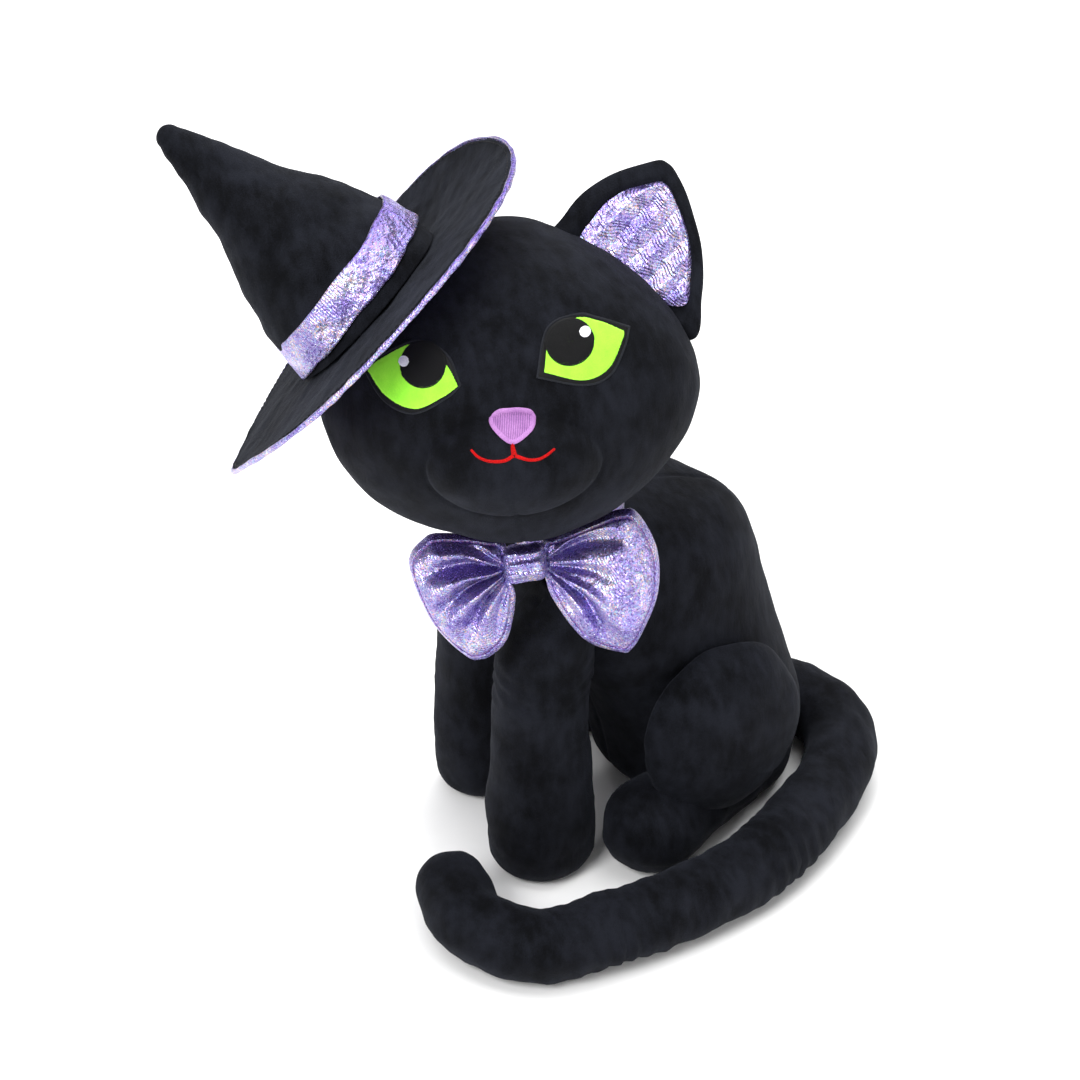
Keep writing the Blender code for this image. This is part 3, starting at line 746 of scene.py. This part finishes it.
def makeHead():
    units, faces = ballPoints(7)
    width = 1.0 - headShape["cheek"] * (units[:, 2] + 0.15) ** 2
    skull = units * np.array(headShape["half"])
    skull[:, 0] *= width
    reach = np.linalg.norm(skull, axis=1)
    ahead = skull / reach[:, None]
    middle, half = np.array(headShape["muzzleAt"]), np.array(headShape["muzzleHalf"])
    a = ((ahead / half) ** 2).sum(axis=1)
    b = -2 * (ahead * middle / half ** 2).sum(axis=1)
    c = ((middle / half) ** 2).sum() - 1
    inside = b * b - 4 * a * c
    muzzle = np.where(inside > 0, (-b + np.sqrt(np.maximum(inside, 0))) / (2 * a), reach - 0.05)
    muzzle = np.where(b < 0, muzzle, reach - 0.05)
    gap = muzzle - reach
    total = (muzzle + reach + np.sqrt(gap ** 2 + 0.0022 ** 2)) / 2
    total += groove(gap, 0.0016, headShape["seam"])
    total += headShape["jowlSize"] * np.exp((ahead @ np.array(headShape["jowl"]) - 1) / 0.09)
    points = ahead * total[:, None]
    chin = (points[:, 2] < -0.036) & (points[:, 1] < 0)
    total += chin * groove(points[:, 0] - 0.0045, 0.0013, 0.0009)
    total += (points[:, 1] > 0.010) * groove(points[:, 0], 0.0015, 0.0009)
    total += ripple(points, 0.055, 51) * 0.0008 + ripple(points, 0.016, 52) * 0.00030
    points = ahead * total[:, None]
    head = meshPiece("headSkin", points, faces, velvet)
    tree = BVHTree.FromPolygons([Vector(p) for p in points], faces)
    head.data.transform(headMatrix)
    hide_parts("head_cover", "head_filling", "muzzle_cover", "muzzle_filling")
    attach(head, "head")
    return tree


faceTree = makeHead()
print("head made")


def onFace(x, z, lift):
    hit, normal, _, _ = faceTree.ray_cast(Vector((x, -0.2, z)), Vector((0, 1, 0)))
    return headMatrix @ (hit + normal * lift)


def facePatch(name, outline, lift, finish):
    centre = outline.mean(axis=0)
    shares = (1.0, 0.985, 0.94, 0.85, 0.70, 0.52, 0.34, 0.16)
    grid = []
    for k, share in enumerate(shares):
        rise = lift if k > 0 else lift - 0.0005
        grid.append([onFace(*(centre + (p - centre) * share), rise) for p in outline])
    return gridPiece(name, np.array(grid), finish, False, True)


def rows3d(rows, lift, arch=0.0, step=0.0022):
    # Threads laid over the face between start and end points.
    lines = []
    for start, finish in rows:
        count = max(3, int(np.linalg.norm(finish - start) / step) + 2)
        line = []
        for t in np.linspace(0, 1, count):
            x, z = start + (finish - start) * t
            drop = 0.0004 if t in (0.0, 1.0) else 0.0
            line.append(onFace(x, z, lift - drop + arch * math.sin(math.pi * t)))
        lines.append(line)
    return lines


def across(loop, width, closed=True):
    # Short stitches square to a line; width is one number or one for each point.
    if closed:
        ahead = np.roll(loop, -1, axis=0) - np.roll(loop, 1, axis=0)
    else:
        ahead = np.gradient(loop, axis=0)
    ahead /= np.maximum(np.linalg.norm(ahead, axis=1)[:, None], 1e-9)
    square = np.stack([-ahead[:, 1], ahead[:, 0]], axis=1) * np.array(width).reshape(-1, 1) / 2
    return list(zip(loop - square, loop + square))


def onHead(piece, *nodes):
    if nodes:
        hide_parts(*nodes)
    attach(piece, "head")
    return piece


eyeShape = {  # edges from corner to corner, sideways and upwards from the head's middle
    "left": {
        "edges": (
            ((0.0580, 0.0240), (0.0445, 0.0290), (0.0355, 0.0310), (0.0225, 0.0255), (0.0175, 0.0045)),
            ((0.0175, 0.0045), (0.0375, 0.0000), (0.0490, 0.0035), (0.0555, 0.0150), (0.0580, 0.0240))),
        "iris": (
            ((0.0555, 0.0225), (0.0450, 0.0275), (0.0350, 0.0295), (0.0240, 0.0240), (0.0205, 0.0065)),
            ((0.0205, 0.0065), (0.0375, 0.0020), (0.0485, 0.0065), (0.0545, 0.0180), (0.0555, 0.0225))),
        "lean": 1.45, "pupil": (0.0320, 0.0190), "highlight": (0.0385, 0.0230)},
    "right": {
        "edges": (
            ((-0.0610, 0.0100), (-0.0550, 0.0150), (-0.0470, 0.0190), (-0.0345, 0.0225),
             (-0.0220, 0.0160), (-0.0165, 0.0025)),
            ((-0.0165, 0.0025), (-0.0230, -0.0030), (-0.0385, -0.0095), (-0.0520, -0.0035),
             (-0.0610, 0.0100))),
        "iris": (
            ((-0.0595, 0.0100), (-0.0545, 0.0140), (-0.0395, 0.0210), (-0.0300, 0.0190),
             (-0.0220, 0.0110), (-0.0175, 0.0020)),
            ((-0.0175, 0.0020), (-0.0245, -0.0025), (-0.0375, -0.0075), (-0.0505, -0.0020),
             (-0.0595, 0.0100))),
        "lean": 1.72, "pupil": (-0.0330, 0.0120), "highlight": (-0.0415, 0.0135)},
    "pupilHalf": 0.0106, "highlightHalf": 0.0024, "thread": 0.00021, "pitch": 0.00038}


def circle(centre, half, count=72):
    turns = np.linspace(0, 2 * math.pi, count, endpoint=False)
    return np.array(centre) + half * np.stack([np.cos(turns), np.sin(turns)], axis=1)


def makeEye(side):
    eye, pitch = eyeShape[side], eyeShape["pitch"]
    size = {"Thickness": eyeShape["thread"]}
    outline = cornered(eye["edges"], 260)
    iris = cornered(eye["iris"], 160)
    pupil = circle(eye["pupil"], eyeShape["pupilHalf"])
    spot = circle(eye["highlight"], eyeShape["highlightHalf"], 28)
    onHead(facePatch(f"eyeGround_{side}", outline, 0.0003, blackThread))
    rows = rows3d(across(outline, 0.0008), 0.0006, 0.0001)
    onHead(sewn(f"eyeOutline_{side}", rows, threads, greyThread, size), f"eye_{side}_outline")
    layers = (  # name, outline, height of its ground and its rows, slant, seed, ragged ends, thread
        ("iris", iris, 0.0006, 0.0008, eye["lean"], 61, 0.0004, greenThread),
        ("pupil", pupil, 0.0010, 0.00115, eye["lean"] + 0.3, 62, 0.0003, blackThread),
        ("highlight", spot, 0.0014, 0.0016, eye["lean"], 63, 0.0001, whiteThread))
    for name, edge, ground, height, slant, seed, ragged, thread in layers:
        onHead(facePatch(f"{name}Ground_{side}", edge, ground, thread))
        rows = rows3d(scanLines(edge, slant, pitch, seed, ragged), height)
        onHead(sewn(f"{name}_{side}", rows, threads, thread, size), f"eye_{side}_{name}")


for side in ("left", "right"):
    makeEye(side)
print("eyes made")


noseShape = {
    "outline": (
        (-0.0040, -0.0135), (-0.0005, -0.0095), (0.0045, -0.0090), (0.0095, -0.0090), (0.0145, -0.0105),
        (0.0155, -0.0155), (0.0130, -0.0195), (0.0060, -0.0235), (-0.0005, -0.0190)),
    "columns": 0.00078, "thread": 0.00029, "border": 0.0018}
mouthShape = {
    "stem": ((0.0060, -0.0230), (0.0060, -0.0255), (0.0065, -0.0285)), "stemWidth": (0.0011, 0.0024),
    "arcs": (
        ((0.0060, -0.0290), (0.0020, -0.0310), (-0.0045, -0.0310), (-0.0095, -0.0290), (-0.0125, -0.0260)),
        ((0.0070, -0.0290), (0.0125, -0.0310), (0.0170, -0.0310), (0.0205, -0.0295), (0.0240, -0.0270))),
    "arcWidth": (0.0014, 0.0009), "thread": 0.00020, "pitch": 0.00036}


def makeNose():
    outline = evenLoop(smoothRows(noseShape["outline"], 8, True), 150)
    # The sheet under the columns carries painted shade, showing dark in the gaps between them.
    onHead(facePatch("noseGround", outline, 0.0004, noseGapShadeThread))
    centre = outline.mean(axis=0)
    rows = scanLines(centre + (outline - centre) * 0.93, math.radians(93), noseShape["columns"], 71)
    size = {"Thickness": noseShape["thread"]}
    onHead(sewn("noseColumns", rows3d(rows, 0.0005, 0.0, 0.0012), threads, lilacThread, size), "nose")
    border = across(centre + (outline - centre) * 0.95, noseShape["border"])
    size = {"Thickness": 0.00024}
    onHead(sewn("noseBorder", rows3d(border, 0.0008, 0.0002), threads, lilacThread, size))


def makeMouth():
    pitch, lines = mouthShape["pitch"], []
    stem = evenLine(smoothRows(mouthShape["stem"], 8), pitch)
    lines += across(stem, np.linspace(*mouthShape["stemWidth"], len(stem)), False)
    for arc in mouthShape["arcs"]:
        path = evenLine(smoothRows(arc, 8), pitch)
        lines += across(path, np.linspace(*mouthShape["arcWidth"], len(path)), False)
    size = {"Thickness": mouthShape["thread"]}
    onHead(sewn("mouthStitches", rows3d(lines, 0.0004, 0.0003), threads, redThread, size), "mouth")


makeNose()
makeMouth()
print("nose and mouth made")


# Ear

earShape = {
    "outline": (
        (0.019, 0.054), (0.029, 0.0760), (0.046, 0.0905), (0.0700, 0.0975), (0.0770, 0.0965),
        (0.0815, 0.0905), (0.0875, 0.0740), (0.0915, 0.0550), (0.0905, 0.0350), (0.0850, 0.0150),
        (0.0550, 0.0250)),
    "centre": (0.0680, 0.0600), "thick": 0.0050, "cup": 0.0055,
    "lining": 0.70, "liningCentre": (0.0735, 0.0680)}


def earPlace(flat, depth):
    centre = np.array(earShape["centre"])
    away = np.linalg.norm((flat - centre) / np.array([0.034, 0.042]), axis=1)
    cup = earShape["cup"] * np.clip(1 - away ** 2, -0.6, 1)
    return np.stack([flat[:, 0], depth + cup, flat[:, 1]], axis=1)


def makeEar():
    outline = evenLoop(smoothRows(earShape["outline"], 10, True), 180)
    centre, thick = np.array(earShape["centre"]), earShape["thick"]
    layers = []
    for share in np.linspace(0.04, 0.995, 34):  # the front, sunk where the lining goes
        rim = math.sqrt(1 - share ** 6) if share > 0.80 else 0.85 - 0.70 * min(1, (0.80 - share) / 0.08)
        layers.append((share, -thick * rim))
    layers += [(share, thick * math.sqrt(1 - share ** 4)) for share in np.linspace(1.0, 0.04, 24)]
    grid = np.array([earPlace(centre + (outline - centre) * share, depth) for share, depth in layers])
    ear = gridPiece("earSkin_left", grid, velvet)
    press(ear, lambda points: ripple(points, 0.020, 81) * 0.0004)
    rows, middle = [], np.array(earShape["liningCentre"])
    for share in np.linspace(1.0, 0.04, 40):
        depth = -thick * (0.30 + 0.42 * min(1, (1 - share) * 8)) - 0.0004
        flat = middle + (outline - middle) * share * earShape["lining"]
        lifted = earPlace(flat, depth)
        fall = (flat - np.array([0.058, 0.030])) @ np.array([-0.80, 0.60])
        folds = 0.0008 * np.sin(fall * 2 * math.pi / 0.0135 + flat[:, 1] * 90)
        lifted[:, 1] -= (folds + 0.0005 * ripple(lifted, 0.009, 82)) * min(1, (1 - share) * 5)
        rows.append(lifted)
    lining = gridPiece("earLining_left", np.array(rows), foil, False, True)
    base = jointAt("ear_left_fold")
    upward = (headMatrix.to_3x3() @ Vector((0.34, 0.0, 0.94))).normalized()
    for piece in (ear, lining):
        piece.data.transform(headMatrix)
        base + upward * 0.014
        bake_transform(piece)
    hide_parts("ear_left_back")
    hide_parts("ear_left_lining")
    cutOut = outline * earShape["lining"]
    following = np.roll(cutOut, -1, axis=0)
    area = abs((cutOut[:, 0] * following[:, 1] - following[:, 0] * cutOut[:, 1]).sum()) / 2


makeEar()
print("ear made")


# Hat, built about the middle of its brim's underside

hatShape = {
    "at": (-0.059, -0.010, 0.036), "up": (-0.69, -0.20, 0.69), "across": (0.68, 0.0, 0.73),
    "rows": (  # height, radius, shift across
        (0.004, 0.0446, -0.0015), (0.0110, 0.0442, -0.0015), (0.0210, 0.0422, -0.0015),
        (0.0330, 0.0400, -0.0014), (0.0510, 0.0338, -0.0012), (0.0720, 0.0250, -0.0010),
        (0.0880, 0.0182, -0.0024), (0.1050, 0.0124, -0.0030), (0.1170, 0.0080, -0.0036),
        (0.1225, 0.0058, -0.0038)),
    "curl": (  # direction in degrees, lift of the brim's edge
        (-150, -0.0030), (-90, -0.0010), (-40, -0.0030), (-10, 0.0), (20, 0.0105), (50, 0.0180),
        (90, 0.0085), (140, -0.0020), (180, -0.0045)),
    "bend": 0.0720, "dent": 0.0042, "around": 150,
    "brimRadius": 0.0970, "brimInner": 0.0300, "roll": 0.0055, "rollAt": 208,
    "edge": 0.0013, "long": 0.0040, "band": (0.0140, 0.0320), "bandTilt": 0.0041}


def hatMatrix():
    up = Vector(hatShape["up"]).normalized()
    outward = up.cross(Vector(hatShape["across"])).normalized()
    columns = Matrix((outward.cross(up), outward, up)).transposed()
    return headMatrix @ Matrix.Translation(Vector(hatShape["at"])) @ columns.to_4x4()


onHat = hatMatrix()


def makeCrown():
    steps = 10
    rows = smoothRows(hatShape["rows"], steps)
    path = np.array([(row[2], 0.0, row[0]) for row in rows])
    path, half = roundEnd(path, rows[:, 1], 8)
    grid = tube(path, half, half, hatShape["around"], up=(0, 1, 0))
    for i, ring in enumerate(grid):
        sideways = (ring[:, 0] - path[i, 0]) / max(half[i], 0.001)
        turned = ring[:, 1] / max(half[i], 0.001)
        height = path[i, 2]
        upper = np.clip(sideways * 0.9 - turned * 0.3, 0, 1) ** 2 * hatShape["dent"]
        lower = np.clip(-sideways * 0.4 - turned * 0.9, 0, 1) ** 3 * 0.0022
        dent = math.exp(-((height - 0.074) / 0.010) ** 2) * upper
        dent += math.exp(-((height - 0.050) / 0.014) ** 2) * lower
        scale = 1 - dent / max(half[i], 0.004)
        grid[i] = path[i] + (ring - path[i]) * scale[:, None]
    flat = grid.reshape(-1, 3)
    uneven = (ripple(flat, 0.024, 91) * 0.0008 + ripple(flat, 0.010, 92) * 0.0003).reshape(grid.shape[:2])
    turns = np.linspace(0, 2 * math.pi, hatShape["around"], endpoint=False)
    for i, ring in enumerate(grid):
        seam = groove(np.angle(np.exp(1j * (turns + 1.2))) * half[i], 0.0012, 0.0008)
        scale = 1 + (uneven[i] + seam) / max(half[i], 0.008)
        grid[i] = path[i] + (ring - path[i]) * scale[:, None]
    cut = int(np.argmin(np.abs(path[:, 2] - hatShape["bend"])))
    crown = gridPiece("hatCrown", grid[:cut + 1], velvet, True, False)
    tip = gridPiece("hatTip", grid[cut:], velvet, False, True)
    for piece in (crown, tip):
        piece.data.transform(onHat)
    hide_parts("hat_crown_cover", "hat_crown_filling")
    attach(crown, "head")
    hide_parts("hat_tip_cover", "hat_tip_filling")
    bend = jointAt("hat_tip_flop")
    upward = (onHat.to_3x3() @ Vector((0, 0, 1))).normalized()
    bend + upward * 0.020
    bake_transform(tip)


def brimLift(turns, radius):
    # How far the brim curls away from flat, by direction and distance.
    share = np.clip((radius - 0.035) / (hatShape["brimRadius"] - 0.035), 0, 1.1)
    at, lift = np.array(hatShape["curl"]).T
    nearby = (-20, -10, 0, 10, 20)
    curl = sum(np.interp(np.degrees(turns) + near, at, lift, period=360) for near in nearby)
    fromRoll = np.degrees(turns) - hatShape["rollAt"]
    roll = hatShape["roll"] * np.exp(-(fromRoll / 30) ** 2) * share ** 8
    return curl / len(nearby) * share ** 2 + roll


def brimSheet(profile, around=300):
    turns = np.linspace(0, 2 * math.pi, around, endpoint=False)
    grid = np.zeros((len(profile), around, 3))
    for ring, (radius, height) in zip(grid, profile):
        longer = hatShape["long"] * (radius / hatShape["brimRadius"]) ** 2 * np.clip(-np.cos(turns), 0, 1)
        ring[:, 0] = np.cos(turns) * radius - longer
        ring[:, 1] = np.sin(turns) * radius
        ring[:, 2] = height + brimLift(turns, radius)
    return grid


def makeBrim():
    full, inner, edge = hatShape["brimRadius"], hatShape["brimInner"], hatShape["edge"]
    top = [(radius, 2 * edge + 0.0002) for radius in np.linspace(inner, full - edge - 0.0012, 40)]
    top += [(full - edge - 0.0008, 2 * edge - 0.0002), (full - edge - 0.0006, 2 * edge - 0.0012)]
    upper = gridPiece("brimTop", brimSheet(top), velvet, False, False)
    press(upper, lambda points: ripple(points, 0.030, 101) * 0.0006 + ripple(points, 0.009, 102) * 0.0002)
    under = [(radius, 0.0) for radius in np.linspace(inner, full - edge, 40)]
    for a in np.linspace(-1.45, 1.75, 12):  # round the edge
        under.append((full - edge + edge * math.cos(a), edge + edge * math.sin(a)))
    lower = gridPiece("brimLining", brimSheet(under), foil, False, False)
    press(lower, lambda points: ripple(points, 0.012, 103) * 0.0003)
    line = brimSheet([(full - edge - 0.0024, 2 * edge + 0.0004)], 420)[0]
    size = {"Spacing": 0.0032, "Length": 0.0011, "Thickness": 0.00025}
    stitching = sewn("brimStitches", [np.vstack([line, line[:1]])], stitches, blackThread, size)
    for piece in (upper, lower, stitching):
        piece.data.transform(onHat)
        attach(piece, "head")
    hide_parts("hat_brim_top", "hat_brim_foam")
    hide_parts("hat_brim_lining")
    area = math.pi * ((full + edge) ** 2 - inner ** 2)


def makeBand():
    low, high = hatShape["band"]
    rows = smoothRows(hatShape["rows"], 10)
    heights = np.linspace(low, high, 18)  # up the outside, then down the inside
    proud = list(zip(heights, 0.0019 + 0.0005 * np.sin(np.linspace(0, math.pi, len(heights)))))
    proud += [(h, 0.0006) for h in np.linspace(high, low, 14)]
    turns = np.linspace(0, 2 * math.pi, 240, endpoint=False)
    grid = np.zeros((len(proud), len(turns), 3))
    for ring, (height, above) in zip(grid, proud):
        radius = np.interp(height, rows[:, 0], rows[:, 1]) + above
        ring[:, 0] = np.cos(turns) * radius + np.interp(height, rows[:, 0], rows[:, 2])
        ring[:, 1] = np.sin(turns) * radius
        tilt = hatShape["bandTilt"] * (np.cos(turns) - 1)
        ring[:, 2] = height + tilt + 0.0007 * np.sin(3 * turns + 1) + 0.0004 * np.sin(7 * turns)
    band = gridPiece("hatBand", grid, foil, False, False, True)
    press(band, lambda points: ripple(points, 0.012, 111) * 0.00045)
    band.data.transform(onHat)
    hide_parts("hat_band")
    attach(band, "head")
    around = 2 * math.pi * np.interp((low + high) / 2, rows[:, 0], rows[:, 1])


makeCrown()
makeBrim()
makeBand()
print("hat made")


# Collar and bow

collarShape = {
    "radius": 0.0352, "height": 0.0130, "rise": -0.0040, "turn": (10, 0, 60), "thick": 0.0012}
bowShape = {
    "turn": (-22, -8, 60), "thick": 0.0125, "rim": 0.90,
    "left": {
        "outline": (
            (0.0080, 0.0085), (0.0160, 0.0110), (0.0360, 0.0175), (0.0480, 0.0205), (0.0555, 0.0180),
            (0.0625, 0.0000), (0.0605, -0.0205), (0.0505, -0.0395), (0.0445, -0.0470), (0.0395, -0.0480),
            (0.0235, -0.0400), (0.0115, -0.0200), (0.0085, -0.0085)),
        "middle": (0.0400, -0.0150),
        "valleys": (  # direction, depth, width in degrees, reach
            (16, 0.0082, 7, 0.046), (-46, 0.0115, 6, 0.054), (-63, 0.0045, 6, 0.040),
            (-14, 0.0040, 6, 0.036), (33, 0.0030, 6, 0.030))},
    "right": {
        "outline": (
            (-0.0080, 0.0100), (-0.0150, 0.0140), (-0.0380, 0.0190), (-0.0465, 0.0170), (-0.0540, 0.0075),
            (-0.0490, -0.0175), (-0.0420, -0.0320), (-0.0330, -0.0425), (-0.0280, -0.0445),
            (-0.0215, -0.0430), (-0.0130, -0.0355), (-0.0065, -0.0160), (-0.0080, -0.0050)),
        "middle": (-0.0310, -0.0120),
        "valleys": (
            (8, 0.0080, 7, 0.046), (-22, 0.0100, 8, 0.044), (-48, 0.0090, 8, 0.043),
            (-72, 0.0048, 7, 0.040), (30, 0.0040, 6, 0.036))},
    "knotHalf": (0.0104, 0.0100, 0.0092)}

bowMiddle = (jointAt("bow_left_fold") + jointAt("bow_right_fold")) / 2
onBow = placeAt(bowMiddle, bowShape["turn"])


def makeCollar():
    radius, height, thick = collarShape["radius"], collarShape["height"] / 2, collarShape["thick"] / 2
    section = []  # a flat strip's edge, outwards and upwards
    for a in np.linspace(0, 2 * math.pi, 28, endpoint=False):
        up = height * abs(math.sin(a)) ** 0.35 * np.sign(math.sin(a))
        section.append((thick * math.cos(a), up))
    turns = np.linspace(0, 2 * math.pi, 220, endpoint=False)
    grid = np.zeros((len(turns), len(section), 3))
    for ring, turn in zip(grid, turns):
        for k, (out, up) in enumerate(section):
            reach = radius + out + 0.0005 * math.sin(9 * turn + up * 300)
            ring[k] = (math.cos(turn) * reach, math.sin(turn) * reach, up)
    collar = gridPiece("collarRibbon", grid, foil, False, False, True)
    spot = jointAt("head_turn") + Vector((0, 0, collarShape["rise"]))
    collar.data.transform(placeAt(spot, collarShape["turn"]))
    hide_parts("collar")
    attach(collar, "neck_ribbon")


def makeLoop(side):
    sign = 1 if side == "left" else -1
    shape = bowShape[side]
    outline = evenLoop(smoothRows(shape["outline"], 8, True), 300)
    middle = np.array(shape["middle"])
    root = np.array([sign * 0.0060, -0.0010])

    def depth(flat, share):
        away = np.abs(flat[:, 0]) / 0.060
        full = bowShape["thick"] * (0.42 + 0.72 * np.sin(np.clip(away, 0, 1) * math.pi * 0.62))
        return full * (1 - share ** 2.6) ** 0.62

    def folds(flat, front):
        rest = flat - root
        angle = np.degrees(np.arctan2(rest[:, 1], rest[:, 0] * sign))
        away = np.linalg.norm(rest, axis=1)
        total = np.zeros(len(flat))
        for at, deep, wide, reach in shape["valleys"]:
            bent = at + (6 if front else -9) * np.sin(away * 90) + (0 if front else 12)
            s = away / reach
            near = np.clip(s * 5, 0, 1)
            total += groove(angle - bent, wide, deep) * np.clip(1.15 - s ** 2, 0, 1) * near
            ridge = groove(angle - bent - wide * 1.7, wide, deep * 0.38)
            total -= ridge * np.clip(1.1 - s ** 2, 0, 1) * near
        return total

    rows = []
    shares = np.concatenate([np.linspace(0.03, 0.86, 44), np.linspace(0.875, 0.999, 16)])
    for front in (True, False):
        for share in (shares if front else shares[::-1]):
            flat = middle + (outline - middle) * share
            swell = depth(flat, share)
            crumple = folds(flat, front) * (1 - share ** 5)
            rim = groove(share - bowShape["rim"], 0.014, 0.0015)
            place = np.stack([flat[:, 0], np.zeros(len(flat)), flat[:, 1]], axis=1)
            fine = ripple(place + (0 if front else 0.05), 0.009, 121) * 0.0004
            fine = (fine + ripple(place, 0.017, 122) * 0.0010) * (1 - share ** 6)
            out = np.maximum(swell + crumple + rim + fine, 0.0007 * (1 - share ** 8))
            place[:, 1] = -out if front else out
            place[:, 1] += 0.0022 * np.sin(flat[:, 1] * 90 + sign)
            place[:, 1] -= 0.004 * (np.abs(flat[:, 0]) / 0.06) ** 2
            rows.append(place)
    loop = gridPiece(f"bowLoop_{side}", np.array(rows), foil)
    groundRow = np.array(rows[int(np.argmin(np.abs(shares - bowShape["rim"])))])
    groundRow[:, 1] -= 0.0003
    line = groundRow[np.abs(groundRow[:, 0]) > 0.013]
    size = {"Spacing": 0.0021, "Length": 0.00075, "Thickness": 0.00020}
    seam = sewn(f"bowRimStitches_{side}", [line], stitches, lilacThread, size)
    pivot = jointAt(f"bow_{side}_fold")
    outward = (onBow.to_3x3() @ Vector((sign, 0, 0))).normalized()
    for piece in (loop, seam):
        piece.data.transform(onBow)
        pivot + outward * 0.012
        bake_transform(piece)
    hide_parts(f"bow_{side}_loop")


def makeKnot():
    half = bowShape["knotHalf"]
    units, faces = ballPoints(6)
    power = np.sign(units) * np.abs(units) ** np.array([0.45, 0.75, 0.75])
    points = power * np.array(half)
    points[:, 1] += np.where(points[:, 1] > 0, 0.0, -0.0010)
    pinch = 1 - 0.10 * np.exp(-(points[:, 0] / 0.006) ** 2)
    points[:, 2] *= pinch
    points[:, 1] += -0.0007 * np.sin(points[:, 2] * 2 * math.pi / 0.0052) * (points[:, 1] < 0)
    knot = meshPiece("bowKnot", points, faces, foil)
    press(knot, lambda points: ripple(points * np.array([0.4, 1, 1]), 0.006, 131) * 0.0003)
    knot.data.transform(onBow)
    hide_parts("bow_knot")
    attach(knot, "neck_ribbon")


makeCollar()
for side in ("left", "right"):
    makeLoop(side)
makeKnot()
print("collar and bow made")


# Floor, lights and camera

stageShape = {
    "floor": 6.0, "target": (-0.0265, -0.070, 0.150),
    "azimuth": 60, "elevation": 34, "distance": 1.6, "lens": 106.67}


def makeStage():
    finish = Finish("paleFloor", "floor", {"Roughness": 0.9, "Specular IOR Level": 0.1})
    speck = finish.noise(0.02, 3.0)
    finish.set("Base Color", finish.mix(speck, (0.90, 0.90, 0.90, 1), (0.93, 0.93, 0.93, 1)))
    half = stageShape["floor"] / 2
    corners = [(-half, -half, 0), (half, -half, 0), (half, half, 0), (-half, half, 0)]
    mesh = bpy.data.meshes.new("floor")
    mesh.from_pydata(corners, [], [(0, 1, 2, 3)])
    mesh.materials.append(finish.material)
    floor = bpy.data.objects.new("floor", mesh)
    bpy.context.scene.collection.objects.link(floor)


def makeLight(name, place, size, power, colour=(1, 1, 1)):
    light = bpy.data.lights.new(name, "AREA")
    light.size = size
    light.energy = power
    light.color = colour
    made = bpy.data.objects.new(name, light)
    bpy.context.scene.collection.objects.link(made)
    made.location = place
    made.rotation_euler = (Vector(stageShape["target"]) - Vector(place)).to_track_quat("-Z", "Y").to_euler()


def makeCamera():
    around, above = math.radians(stageShape["azimuth"] - 90), math.radians(stageShape["elevation"])
    back = Vector((math.cos(around) * math.cos(above), math.sin(around) * math.cos(above), math.sin(above)))
    camera = bpy.data.cameras.new("camera")
    camera.lens = stageShape["lens"]
    camera.sensor_width = 36.0
    made = bpy.data.objects.new("camera", camera)
    bpy.context.scene.collection.objects.link(made)
    made.location = Vector(stageShape["target"]) + back * stageShape["distance"]
    made.rotation_euler = back.to_track_quat("Z", "Y").to_euler()
    bpy.context.scene.camera = made


def makeWorld():
    world = bpy.data.worlds.new("studio")
    bpy.context.scene.world = world
    world.use_nodes = True
    background = world.node_tree.nodes["Background"]
    background.inputs["Color"].default_value = (1, 1, 1, 1)
    background.inputs["Strength"].default_value = 0.45
    bpy.context.scene.view_settings.view_transform = "Standard"


makeStage()
makeLight("keyLight", (0.7, -1.3, 1.4), 0.7, 26)
makeLight("fillLight", (1.5, 0.5, 0.8), 1.0, 8)
makeLight("topLight", (-0.2, 0.1, 2.4), 2.6, 75)
makeLight("backLight", (-1.0, 0.8, 1.1), 0.8, 9)
makeCamera()
makeWorld()
